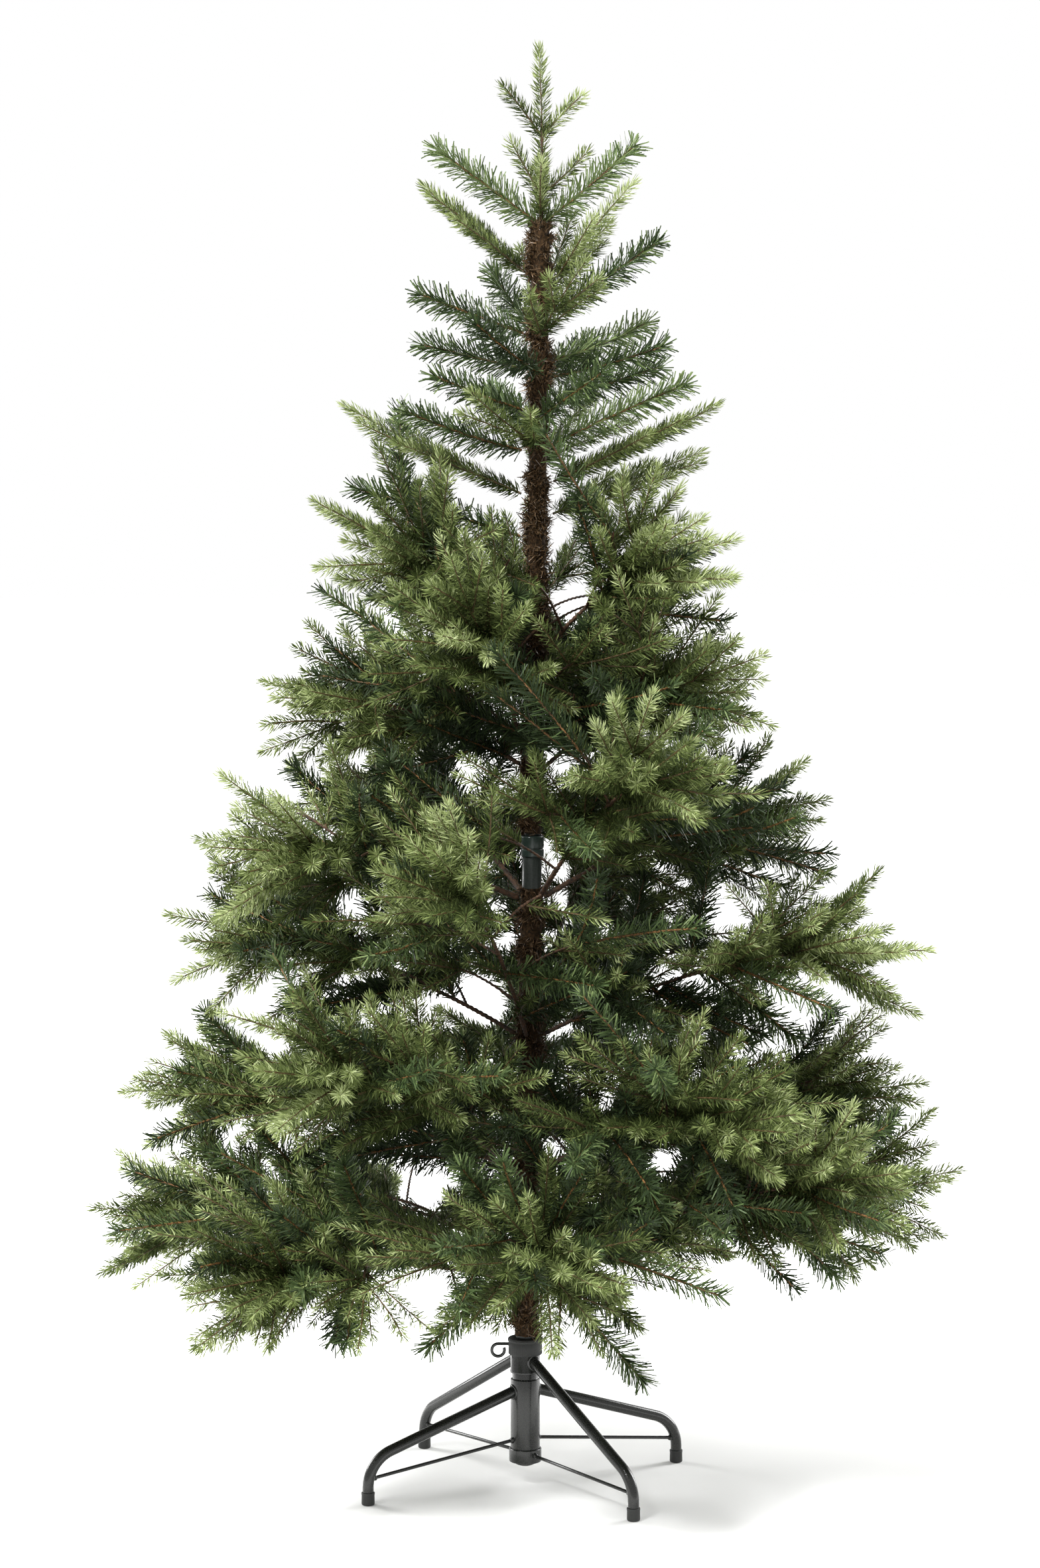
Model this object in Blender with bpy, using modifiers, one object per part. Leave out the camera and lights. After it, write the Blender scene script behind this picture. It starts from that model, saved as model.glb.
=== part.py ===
"""Artificial spruce tree, 1.8 m tall, on a folding four-legged metal stand.

A leaning pole wrapped in brown foil stands in the stand's tube.  Wire boughs rise
from it in tiers, each ending in a mass of foliage: round brushes of strip needles
near the pole and flat moulded sprigs at the tips.  Origin on the floor under the
pole, +Z up, right-hand boughs along +X, metres.
"""
import math
import random

import bpy
import bmesh
import numpy as np
from mathutils import Matrix, Vector

GAP = 0.0003                    # left between pieces that touch

# Stand: a main tube with one pair of legs, and a swivel sleeve with the other pair.
FOOT_REACH = 0.2224             # from the axis to the middle of each foot
FIXED_AZIMUTH = 28.5            # degrees, back right leg; its partner is opposite
SWIVEL_AZIMUTH = 126.6          # degrees, back left leg; its partner is opposite
TUBE_RADIUS = 0.0185
TUBE_BORE = 0.0150
NECK_RADIUS = 0.0165            # reduced top of the tube that the sleeve turns on
TUBE_BOTTOM = 0.0285
TUBE_FLOOR = 0.0350             # inside, where the pole stands
TUBE_SHOULDER = 0.1351
STUD_RADIUS = 0.0110            # small studded end under the tube
STUD_BOTTOM = 0.0231
SLEEVE_RADIUS = 0.0187
SLEEVE_BOTTOM = 0.1436
SLEEVE_TOP = 0.1672
RING_RADIUS = 0.0205            # lower ring that the swivel pair's braces are welded to
RING_BOTTOM = 0.0288
RING_TOP = 0.0462
CUFF_RADIUS = 0.0215            # ribbed plastic cuff that centres the pole
CUFF_TOP = 0.1875
LEG_RADIUS = 0.0070
LEG_BEND = 0.045
LEG_BEND_START = 0.022
LEG_BEND_STEPS = 5
LEG_OVERRUN = 0.004             # raw leg end inside the tube, before it is coped
COPE_SIDES = 40
COPE_LENGTH = 0.4
FIXED_LEG_SLOPE = 17.6          # degrees, of the straight upper stretch
SWIVEL_LEG_SLOPE = 28.3
CAP_RADIUS = 0.00825
CAP_HEIGHT = 0.0160
CAP_CHAMFER = 0.0015
CAP_STEPS = 12
BRACE_RADIUS = 0.0022
BRACE_FOOT_HEIGHT = 0.0330      # where every brace meets its leg
FIXED_BRACE_HEIGHT = 0.0575     # where the fixed pair's braces meet the tube
SWIVEL_BRACE_HEIGHT = 0.0390
RING_SINK = 0.001               # how deep the swivel pair's braces enter their ring
SCREW_RADIUS = 0.0021           # bent-rod clamping screw in the cuff
SCREW_HEIGHT = 0.1795
SCREW_SHANK = 0.0345            # from the axis to the start of its eye
SCREW_EYE = 0.0080
SCREW_EYE_TURN = 290.0          # degrees that the rod runs round its eye
SCREW_EYE_STEPS = 9
SCREW_HOLE_MIDDLE = 0.020       # from the axis, of the hole cut for it in the cuff
SCREW_HOLE_LENGTH = 0.03
SCREW_HOLE_SIDES = 16

# Pole
POLE_RADIUS = 0.0122
WRAP_RADIUS = 0.0160            # pole with its brown foil
WRAP_BOTTOM = 0.2050
WRAP_TOP = 1.5800
LEAN = 0.0137                   # sideways per metre of height, to +X
LEAN_START = 0.1900
JOINT_BOTTOM = 0.8000           # green collar where the pole's two lengths meet
JOINT_TOP = 0.8260
JOINT_RADIUS = 0.0147
BARE_BOTTOM = 0.7600            # bare pole under that collar
WRAP_EDGE = 0.002               # height over which the wrap begins and ends

# Boughs, tier by tier: name, height on the pole, boughs, first azimuth in degrees,
# reach and height of the tips on the right, the same on the left, bare bough length,
# sprays on each mass.
TIERS = (
    ("low", 0.262, 7, -87.0, 0.581, 0.385, 0.559, 0.304, 0.150, 13),
    ("second", 0.400, 5, 18.0, 0.535, 0.500, 0.540, 0.505, 0.000, 15),
    ("third", 0.575, 4, -12.0, 0.515, 0.705, 0.470, 0.715, 0.000, 16),
    ("fourth", 0.748, 4, 28.0, 0.430, 0.850, 0.455, 0.820, 0.070, 13),
    ("fifth", 0.915, 4, -18.0, 0.325, 1.020, 0.345, 1.010, 0.000, 12),
    ("sixth", 1.060, 3, 86.0, 0.310, 1.155, 0.300, 1.125, 0.000, 12),
)
CROWN_BOTTOM = 0.262            # no spray hangs lower
TIP_STAGGER = 0.025             # neighbouring boughs of a tier end higher and lower
FRONT_LIFT = 0.045              # how much higher the foremost boughs end
FRONT_DRAW = 0.030              # how much nearer the pole they end
TIP_SPRAY_SHARE = 0.92          # share of a sprig's length that a stem stops short by
# Sprays that hang below the rest: mass, share of its stem, kind, azimuth, fall, length
DROOPS = (
    ("low_1", 0.04, "brush", -25.0, 43.0, 0.200),
    ("low_1", 0.06, "brush", 205.0, 34.0, 0.170),
    ("low_1", 0.24, "brush", 186.0, 14.0, 0.165),
    ("low_2", 0.75, "brush", 0.0, 48.0, 0.140),
    ("low_2", 0.96, "sprig", -12.0, 56.0, 0.130),
    ("low_7", 0.50, "brush", 262.0, 36.0, 0.120),
)
DROOP_BOTTOM = 0.140
BOUGH_ROOT_RADIUS = 0.0048
BOUGH_TIP_RADIUS = 0.0036
STEM_TIP_RADIUS = 0.0024
STEM_ARCH = 0.10                # rise of a bough above its chord, by its length
STEM_POINTS = 6                 # on a mass's solid stem
BOUGH_POINTS = 5
PATH_STEPS = 40                 # on the path that sprays are placed along

# Sprays of needles
BRUSH_LENGTH = 0.175            # round brush of strip needles
BRUSH_RADIUS = 0.0240
SPRIG_LENGTH = 0.155            # flat moulded sprig
SPRIG_THICKNESS = 0.010
FINGER_ROOM = 0.009             # clear room round a sprig's finger
BRUSH_SIDES = 4
BRUSH_WHORLS = ((0.22, 0.50), (0.60, 0.45))     # place along a brush, and core's share
SPIKE_LEAN = 0.16               # how far a brush's needles point forward
FINGER_PAIRS = ((0.26, 0.60, 0.31), (0.50, 0.84, 0.24))     # root, tip along and out
FINGER_NOTCHES = ((0.76, 0.07), (0.55, 0.12))   # between a sprig's fingers, along and out
SPRAY_START = 0.12              # bare share of a stem
WHORL_START = 0.88              # share of a stem where its tip's whorl begins
BRUSH_SHARE = 0.55              # inner share of a stem that mostly carries brushes
ODD_SHARE = 0.20                # sprays of the other kind than their place suggests
# Sideways spread and tilt of successive sprays along a stem, in degrees
RANKS = ((-56, 4), (56, -4), (-24, 46), (50, 30), (-50, -26), (22, -42), (-6, 62))
RANK_TURN = 8.0                 # most that a rank's spread varies, either way
RANK_TILT = 7.0
WHORL_TURN = 6.0
SPREAD_TAPER = (1.10, 0.35)     # factor at a stem's root, and what its tip loses
TILT_TAPER = (1.05, 0.25)
SIZE_TAPER = (1.06, 0.15)
RANK_SIZES = (0.90, 1.08)
WHORL_SIZES = (0.92, 1.06)
ROLL = 48                       # most that a flat sprig turns about its own length
TIP_WHORL = ((-36, -4), (36, 4), (6, 33), (-6, -31), (0, 0))
SAMPLE_STEP = 0.008             # spacing of the points that clearance is tested on
SPINDLE_ENDS = (0.36, 0.22)     # shares of a brush over which it swells and narrows
SPINDLE_TIP = 0.12
CLEARANCE = 0.001
OWN_ROOM = 0.5                  # share of that room kept between a mass's own sprays
ROOT_ROOM = 0.025               # stretch of a spray at its root that is not tested
SINK = 0.004                    # how deep a spray's root starts behind its stem's axis

# Top of the crown: short stems beside the pole, and the leader over it
TOP_STEM_ENDS = 0.01
# Sprays beside the pole: azimuth of the stem, then from the top down each spray's height,
# turn from that azimuth, kind, rise and length
TOP_MASSES = (
    (0.0, ((1.520, -12.0, "sprig", 50.0, 0.150), (1.478, 12.0, "brush", 34.0, 0.156),
           (1.418, 28.0, "brush", 20.0, 0.140), (1.398, -12.0, "brush", 15.0, 0.142),
           (1.368, 16.0, "brush", 17.0, 0.145), (1.315, -18.0, "brush", 23.0, 0.185),
           (1.268, -6.0, "sprig", 25.0, 0.225), (1.228, 26.0, "sprig", 20.0, 0.225))),
    (90.0, ((1.491, -22.0, "sprig", 45.0, 0.160), (1.445, 26.0, "brush", 33.0, 0.165),
            (1.392, -26.0, "brush", 20.0, 0.160), (1.338, 24.0, "brush", 17.0, 0.165),
            (1.288, -24.0, "sprig", 26.0, 0.205), (1.240, 24.0, "brush", 22.0, 0.195))),
    (180.0, ((1.527, -10.0, "sprig", 40.0, 0.165), (1.451, 12.0, "brush", 20.0, 0.140),
             (1.408, -14.0, "brush", 13.0, 0.134), (1.357, 24.0, "brush", 19.0, 0.125),
             (1.307, 22.0, "brush", 17.0, 0.160), (1.253, -18.0, "sprig", 25.0, 0.258),
             (1.200, -4.0, "brush", 16.0, 0.215))),
    (270.0, ((1.446, 32.0, "sprig", 40.0, 0.140), (1.402, -36.0, "brush", 24.0, 0.145),
             (1.345, 34.0, "brush", 22.0, 0.150), (1.312, -38.0, "sprig", 26.0, 0.150))),
)
LEADER_STEM = 0.130
LEADER_TIP = 1.800
LEADER_START = 0.9              # share of its stem where the leader's own tip starts
LEADER_SWAY = -0.03
# Sprays of the leader: share of its stem, azimuth, rise, kind, length
LEADER_SPRAYS = (
    (0.03, 0.0, 40.0, "brush", 0.152),
    (0.03, 180.0, 36.0, "brush", 0.160),
    (0.12, 90.0, 44.0, "finger", 0.110),
    (0.12, 270.0, 44.0, "finger", 0.090),
    (0.31, 10.0, 43.0, "finger", 0.078),
    (0.31, 190.0, 60.0, "finger", 0.075),
    (0.86, 10.0, 46.0, "finger", 0.072),
    (0.86, 190.0, 52.0, "finger", 0.078),
)
FINGER_RADIUS = 0.0130          # single moulded finger on the leader
WIDTHS = {"brush": BRUSH_RADIUS, "finger": FINGER_RADIUS}
SEED = 11

# Colours and finishes: base colour, metallic, roughness
FINISHES = {
    "black_enamel": ((0.018, 0.020, 0.022), 0.1, 0.28),
    "black_plastic": ((0.020, 0.021, 0.022), 0.0, 0.55),
    "green_plastic": ((0.010, 0.060, 0.040), 0.0, 0.45),
    "brown_foil": ((0.110, 0.045, 0.022), 0.0, 0.70),
    "bough_wire": ((0.045, 0.035, 0.025), 0.0, 0.60),
    "foliage": ((0.045, 0.110, 0.030), 0.0, 0.60),
}


def clear_scene():
    for found in list(bpy.data.objects):
        bpy.data.objects.remove(found)


def new_collection(name):
    made = bpy.data.collections.new(name)
    bpy.context.scene.collection.children.link(made)
    return made


def material(name, label):
    """A Principled material of its own for one sub-part."""
    colour, metallic, roughness = FINISHES[label]
    made = bpy.data.materials.new(name)
    made.use_nodes = True
    shader = made.node_tree.nodes["Principled BSDF"]
    shader.inputs["Base Color"].default_value = (*colour, 1.0)
    shader.inputs["Metallic"].default_value = metallic
    shader.inputs["Roughness"].default_value = roughness
    return made


def add_object(name, data, finish, collection):
    made = bpy.data.objects.new(name, data)
    collection.objects.link(made)
    if finish:
        data.materials.append(material(name, finish))
    return made


def polar(radius, degrees, height):
    angle = math.radians(degrees)
    return Vector((radius * math.cos(angle), radius * math.sin(angle), height))


def tube(name, points, radii, finish, collection, sides=2):
    """A round limb along a polyline, with a radius at each point."""
    curve = bpy.data.curves.new(name, "CURVE")
    curve.dimensions = "3D"
    curve.bevel_depth = 1.0
    curve.bevel_resolution = sides
    curve.use_fill_caps = True
    spline = curve.splines.new("POLY")
    spline.points.add(len(points) - 1)
    for spot, point, radius in zip(spline.points, points, radii):
        spot.co = (*point, 1.0)
        spot.radius = radius
    return add_object(name, curve, finish, collection)


def as_mesh(item):
    """Swap a curve object for a mesh object with welded caps."""
    evaluated = item.evaluated_get(bpy.context.evaluated_depsgraph_get())
    mesh = bpy.data.meshes.new_from_object(evaluated)
    shape = bmesh.new()
    shape.from_mesh(mesh)
    bmesh.ops.remove_doubles(shape, verts=shape.verts, dist=1e-6)
    shape.to_mesh(mesh)
    shape.free()
    name = item.name
    home = item.users_collection[0]
    old = item.data
    bpy.data.objects.remove(item)
    bpy.data.curves.remove(old)
    mesh.name = name
    made = bpy.data.objects.new(name, mesh)
    home.objects.link(made)
    return made


def turned(name, profile, finish, collection, steps=16):
    """A closed profile of (radius, height) turned about Z by a Screw modifier."""
    mesh = bpy.data.meshes.new(name)
    shape = bmesh.new()
    spots = [shape.verts.new((radius, 0.0, height)) for radius, height in profile]
    on_axis = profile[0][0] == 0.0 and profile[-1][0] == 0.0
    for first, second in zip(spots, spots[1:]):
        shape.edges.new((first, second))
    if not on_axis:
        shape.edges.new((spots[-1], spots[0]))
    shape.to_mesh(mesh)
    shape.free()
    made = add_object(name, mesh, finish, collection)
    screw = made.modifiers.new("turn", "SCREW")
    screw.steps = steps
    screw.render_steps = steps
    screw.use_merge_vertices = True
    screw.merge_threshold = 0.00001
    return made


def boolean(item, other, operation):
    """Cut an object by another, or by all of a collection, and apply it.

    A collection goes to the manifold solver: the exact one is slow on many sprays."""
    cut = item.modifiers.new("cut", "BOOLEAN")
    cut.operation = operation
    if isinstance(other, bpy.types.Collection):
        cut.operand_type = "COLLECTION"
        cut.collection = other
        cut.solver = "MANIFOLD"
    else:
        cut.object = other
    evaluated = item.evaluated_get(bpy.context.evaluated_depsgraph_get())
    mesh = bpy.data.meshes.new_from_object(evaluated)
    item.modifiers.clear()
    item.data = mesh


def pole_centre(height):
    return Vector((LEAN * max(0.0, height - LEAN_START), 0.0, height))


# ---------------------------------------------------------------- stand

def stand_tube(collection):
    profile = ((0.0, TUBE_FLOOR), (TUBE_BORE, TUBE_FLOOR), (TUBE_BORE, SLEEVE_TOP),
               (NECK_RADIUS, SLEEVE_TOP), (NECK_RADIUS, TUBE_SHOULDER),
               (TUBE_RADIUS, TUBE_SHOULDER), (TUBE_RADIUS, TUBE_BOTTOM),
               (STUD_RADIUS, TUBE_BOTTOM), (STUD_RADIUS, STUD_BOTTOM), (0.0, STUD_BOTTOM))
    turned("stand_tube", profile, "black_enamel", collection)


def band(name, inner, outer, bottom, top, finish, collection):
    profile = ((outer, top), (outer, bottom), (inner, bottom), (inner, top))
    return turned(name, profile, finish, collection)


def leg_points(azimuth, slope, join_radius):
    """Foot up, round the bend, and straight up the slope to the tube."""
    turn = math.radians(90.0 - slope)
    rise = math.tan(math.radians(slope))
    points = [polar(FOOT_REACH, azimuth, CAP_HEIGHT + GAP)]
    for step in range(LEG_BEND_STEPS + 1):
        angle = turn * step / LEG_BEND_STEPS
        inward = LEG_BEND * (1.0 - math.cos(angle))
        up = LEG_BEND * math.sin(angle)
        points.append(polar(FOOT_REACH - inward, azimuth, LEG_BEND_START + up))
    last_radius = FOOT_REACH - LEG_BEND * (1.0 - math.cos(turn))
    last_height = LEG_BEND_START + LEG_BEND * math.sin(turn)
    end_radius = join_radius - LEG_OVERRUN
    points.append(polar(end_radius, azimuth, last_height + (last_radius - end_radius) * rise))
    return points


def leg(name, azimuth, slope, join_radius, collection, cutters):
    """One leg, its upper end coped to the tube it is welded to."""
    points = leg_points(azimuth, slope, join_radius)
    radii = [LEG_RADIUS] * len(points)
    made = as_mesh(tube(name, points, radii, "black_enamel", collection))
    bpy.ops.mesh.primitive_cylinder_add(vertices=COPE_SIDES, radius=join_radius + GAP,
                                        depth=COPE_LENGTH)
    core = bpy.context.object
    core.name = name + "_cope"
    core.hide_render = True
    core.display_type = "WIRE"
    for home in list(core.users_collection):
        home.objects.unlink(core)
    cutters.objects.link(core)
    boolean(made, core, "DIFFERENCE")
    return made


def foot_cap(name, azimuth, collection):
    profile = ((0.0, CAP_HEIGHT), (CAP_RADIUS, CAP_HEIGHT), (CAP_RADIUS, CAP_CHAMFER),
               (CAP_RADIUS - CAP_CHAMFER, 0.0), (0.0, 0.0))
    made = turned(name, profile, "black_plastic", collection, steps=CAP_STEPS)
    made.location = polar(FOOT_REACH, azimuth, 0.0)


def brace(name, azimuth, inner_radius, height, collection):
    """A thin rod from a leg's upright to the tube."""
    lift = math.asin((BRACE_FOOT_HEIGHT - LEG_BEND_START) / LEG_BEND)
    inward = LEG_BEND * (1.0 - math.cos(lift)) + BRACE_RADIUS * math.sin(lift)
    outer = FOOT_REACH - inward - LEG_RADIUS - 3 * GAP
    points = (polar(outer, azimuth, BRACE_FOOT_HEIGHT), polar(inner_radius, azimuth, height))
    return tube(name, points, [BRACE_RADIUS] * 2, "black_enamel", collection)


def swivel_brace(collection, spare):
    """The lower ring with the swivel pair's braces welded to it, as one piece."""
    ring = band("swivel_brace", TUBE_RADIUS + GAP, RING_RADIUS, RING_BOTTOM, RING_TOP,
                "black_enamel", collection)
    for side in (0.0, 180.0):
        rod = brace("rod", SWIVEL_AZIMUTH + side, RING_RADIUS - RING_SINK,
                    SWIVEL_BRACE_HEIGHT, spare)
        as_mesh(rod)
    boolean_all(ring, spare)


def boolean_all(item, spare):
    boolean(item, spare, "UNION")
    for used in list(spare.objects):
        bpy.data.objects.remove(used)


def cuff(collection, cutters):
    """Ribbed plastic cuff on the sleeve, bored for the pole and its clamping screw."""
    made = band("pole_cuff", POLE_RADIUS + GAP, CUFF_RADIUS, SLEEVE_TOP + GAP, CUFF_TOP,
                "black_plastic", collection)
    bpy.ops.mesh.primitive_cylinder_add(vertices=SCREW_HOLE_SIDES, radius=SCREW_RADIUS + GAP,
                                        depth=SCREW_HOLE_LENGTH,
                                        location=(-SCREW_HOLE_MIDDLE, 0.0, SCREW_HEIGHT),
                                        rotation=(0.0, math.pi / 2, 0.0))
    hole = bpy.context.object
    hole.name = "screw_hole"
    hole.hide_render = True
    hole.display_type = "WIRE"
    for home in list(hole.users_collection):
        home.objects.unlink(hole)
    cutters.objects.link(hole)
    boolean(made, hole, "DIFFERENCE")


def clamp_screw(collection):
    """Rod that clamps the pole, bent into an eye outside the cuff."""
    points = [Vector((-POLE_RADIUS - GAP, 0.0, SCREW_HEIGHT)),
              Vector((-SCREW_SHANK, 0.0, SCREW_HEIGHT))]
    centre = Vector((-SCREW_SHANK, 0.0, SCREW_HEIGHT - SCREW_EYE))
    for step in range(1, SCREW_EYE_STEPS + 1):
        angle = math.radians(SCREW_EYE_TURN) * step / SCREW_EYE_STEPS
        points.append(centre + Vector((-math.sin(angle), 0.0, math.cos(angle))) * SCREW_EYE)
    tube("clamp_screw", points, [SCREW_RADIUS] * len(points), "black_enamel", collection)


def build_stand(collection, cutters, spare):
    stand_tube(collection)
    band("swivel_sleeve", NECK_RADIUS + GAP, SLEEVE_RADIUS, SLEEVE_BOTTOM, SLEEVE_TOP,
         "black_enamel", collection)
    legs = (("back_right", FIXED_AZIMUTH, FIXED_LEG_SLOPE, TUBE_RADIUS),
            ("front_left", FIXED_AZIMUTH + 180.0, FIXED_LEG_SLOPE, TUBE_RADIUS),
            ("back_left", SWIVEL_AZIMUTH, SWIVEL_LEG_SLOPE, SLEEVE_RADIUS),
            ("front_right", SWIVEL_AZIMUTH + 180.0, SWIVEL_LEG_SLOPE, SLEEVE_RADIUS))
    for place, azimuth, slope, join_radius in legs:
        leg("leg_" + place, azimuth, slope, join_radius, collection, cutters)
        foot_cap("foot_cap_" + place, azimuth, collection)
    for place, azimuth, _slope, _join in legs[:2]:
        brace("brace_" + place, azimuth, TUBE_RADIUS + GAP, FIXED_BRACE_HEIGHT, collection)
    swivel_brace(collection, spare)
    cuff(collection, cutters)
    clamp_screw(collection)


# ---------------------------------------------------------------- pole

def build_pole(collection):
    """The trunk in one length, with its foil wrap, and the collar over its joint."""
    profile = ((TUBE_FLOOR + GAP, POLE_RADIUS), (LEAN_START, POLE_RADIUS),
               (WRAP_BOTTOM, POLE_RADIUS), (WRAP_BOTTOM + WRAP_EDGE, WRAP_RADIUS),
               (BARE_BOTTOM, WRAP_RADIUS), (BARE_BOTTOM + WRAP_EDGE, POLE_RADIUS),
               (JOINT_TOP + WRAP_EDGE, POLE_RADIUS), (JOINT_TOP + 2 * WRAP_EDGE, WRAP_RADIUS),
               (WRAP_TOP - WRAP_EDGE, WRAP_RADIUS), (WRAP_TOP, WRAP_RADIUS - WRAP_EDGE))
    points = [pole_centre(height) for height, _radius in profile]
    radii = [radius for _height, radius in profile]
    tube("trunk", points, radii, "brown_foil", collection, sides=4)
    ring = band("joint_collar", POLE_RADIUS + 2 * GAP, JOINT_RADIUS, JOINT_BOTTOM, JOINT_TOP,
                "green_plastic", collection)
    ring.location = (pole_centre(0.5 * (JOINT_BOTTOM + JOINT_TOP)).x, 0.0, 0.0)


# ---------------------------------------------------------------- growth rule

def bezier(first, middle, last, share):
    rest = 1.0 - share
    return first * rest * rest + middle * 2.0 * rest * share + last * share * share


def limb_path(hub, azimuth, reach, height, radius):
    """Points from the wrapped pole out to the end of a stem, rising then levelling.

    The root stands off by what the tilt of its square-cut end takes up."""
    first = pole_centre(hub) + polar(WRAP_RADIUS + GAP, azimuth, 0.0)
    last = polar(reach, azimuth, height)
    arch = Vector((0.0, 0.0, STEM_ARCH * (last - first).length))
    rise = (first.lerp(last, 0.5) + arch - first).normalized().z
    first += polar(radius * max(0.0, rise), azimuth, 0.0)
    middle = first.lerp(last, 0.5) + arch
    return [bezier(first, middle, last, step / PATH_STEPS) for step in range(PATH_STEPS + 1)]


def cut_path(path, distance):
    """Split a path at a distance along it."""
    run = 0.0
    for index in range(1, len(path)):
        run += (path[index] - path[index - 1]).length
        if run >= distance:
            return path[:index + 1], path[index:]
    return path, path[-1:]


def thinned(path, count):
    return [path[round(index * (len(path) - 1) / (count - 1))] for index in range(count)]


def tapered(first, last, count):
    return [first + (last - first) * index / (count - 1) for index in range(count)]


def spray(kind, root, axis, side, length, bottom=CROWN_BOTTOM):
    """One spray: its kind, root, unit axis, unit sideways direction and length."""
    axis = axis.normalized()
    lowest = (bottom - root.z) / length
    if axis.z < lowest:
        axis.z = lowest
        axis.normalize()
    normal = axis.cross(side).normalized()
    return {"kind": kind, "root": root, "axis": axis, "side": normal.cross(axis),
            "length": length}


def sprig_fingers(item):
    """Root and tip of each finger of a flat sprig: the leading one and two pairs."""
    root, axis, side, length = item["root"], item["axis"], item["side"], item["length"]
    fingers = [(root, root + axis * length)]
    for start, along, out in FINGER_PAIRS:
        for hand in (-1.0, 1.0):
            tip = root + axis * (along * length) + side * (hand * out * length)
            fingers.append((root + axis * (start * length), tip))
    return fingers


def samples(item):
    """Points through a spray, each with the room it takes."""
    root, tip = item["root"], item["root"] + item["axis"] * item["length"]
    if item["kind"] == "sprig":
        return line_samples(sprig_fingers(item), FINGER_ROOM)
    rows = line_samples([(root, tip)], WIDTHS[item["kind"]])
    share = np.linspace(0.0, 1.0, len(rows))
    swell, narrow = SPINDLE_ENDS
    shape = np.minimum(share / swell, (1.0 - share) / narrow) + SPINDLE_TIP
    rows[:, 3] *= np.clip(shape, 0.0, 1.0)
    return rows


def line_samples(lines, room):
    rows = []
    for first, last in lines:
        count = max(2, math.ceil((last - first).length / SAMPLE_STEP))
        for step in range(count + 1):
            rows.append((*first.lerp(last, step / count), room))
    return np.array(rows)


def is_clear(rows, others):
    """True where no sample of a spray comes near the samples of other pieces."""
    apart = np.linalg.norm(rows[:, None, :3] - others[None, :, :3], axis=2)
    return np.all(apart > rows[:, None, 3] + others[None, :, 3] + CLEARANCE)


def turned_axis(stem, share, spread, tilt, roll):
    """Root, axis and sideways direction of a spray, from three angles in degrees."""
    spot = min(len(stem) - 2, int(share * (len(stem) - 1)))
    along = (stem[spot + 1] - stem[spot]).normalized()
    sideways = along.cross(Vector((0.0, 0.0, 1.0))).normalized()
    upward = sideways.cross(along)
    turn, lift = math.radians(spread), math.radians(tilt)
    axis = along * math.cos(turn) + sideways * math.sin(turn)
    axis = axis * math.cos(lift) + upward * math.sin(lift)
    flat = axis.cross(upward).normalized()
    return stem[spot], axis, Matrix.Rotation(math.radians(roll), 3, axis) @ flat


def falling(taper, share):
    """A factor that falls evenly from a stem's root to its tip."""
    return taper[0] - taper[1] * share


def stem_sprays(stem, count, chance):
    """Sprays round a stem in ranks, brushes inside and sprigs outside, a whorl at the tip."""
    made = []
    ranked = count - len(TIP_WHORL)
    for index in range(ranked):
        share = SPRAY_START + (WHORL_START - SPRAY_START) * index / ranked
        turn, lift = RANKS[index % len(RANKS)]
        spread = turn * falling(SPREAD_TAPER, share) + chance.uniform(-RANK_TURN, RANK_TURN)
        tilt = lift * falling(TILT_TAPER, share) + chance.uniform(-RANK_TILT, RANK_TILT)
        odd = chance.random() < ODD_SHARE
        kind = "brush" if (share < BRUSH_SHARE) != odd else "sprig"
        size = BRUSH_LENGTH if kind == "brush" else SPRIG_LENGTH
        size *= chance.uniform(*RANK_SIZES) * falling(SIZE_TAPER, share)
        roll = chance.uniform(-ROLL, ROLL)
        made.append(spray(kind, *turned_axis(stem, share, spread, tilt, roll), size))
    for index, (turn, lift) in enumerate(TIP_WHORL):
        share = WHORL_START + (1.0 - WHORL_START) * index / (len(TIP_WHORL) - 1)
        spread = turn + chance.uniform(-WHORL_TURN, WHORL_TURN)
        tilt = lift + chance.uniform(-WHORL_TURN, WHORL_TURN)
        size = SPRIG_LENGTH * chance.uniform(*WHORL_SIZES)
        roll = chance.uniform(-ROLL, ROLL)
        made.append(spray("sprig", *turned_axis(stem, share, spread, tilt, roll), size))
    return made


def tier_plan(chance):
    """Every bough and mass of the tiers: name, bough path, stem path, sprays."""
    plan = []
    for name, hub, count, first, reach_r, tip_r, reach_l, tip_l, bare, sprays in TIERS:
        for index in range(count):
            azimuth = first + 360.0 * index / count
            right = 0.5 + 0.5 * math.cos(math.radians(azimuth))
            reach = reach_l + (reach_r - reach_l) * right
            height = tip_l + (tip_r - tip_l) * right
            height += TIP_STAGGER * (1.0 if index % 2 else -1.0)
            forward = max(0.0, -math.sin(math.radians(azimuth)))
            height += FRONT_LIFT * forward
            reach -= FRONT_DRAW * forward
            radius = BOUGH_ROOT_RADIUS if bare else STEM_TIP_RADIUS
            path = limb_path(hub, azimuth, reach - TIP_SPRAY_SHARE * SPRIG_LENGTH, height,
                             radius)
            bough, stem = (cut_path(path, bare) if bare else (None, path))
            grown = stem_sprays(stem, sprays, chance) + drooping(f"{name}_{index + 1}", stem)
            plan.append((f"{name}_{index + 1}", bough, stem, grown))
    return plan


def outward(azimuth, rise):
    """Unit direction at an azimuth and a rise, in degrees."""
    angle = math.radians(rise)
    return polar(math.cos(angle), azimuth, math.sin(angle))


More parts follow.
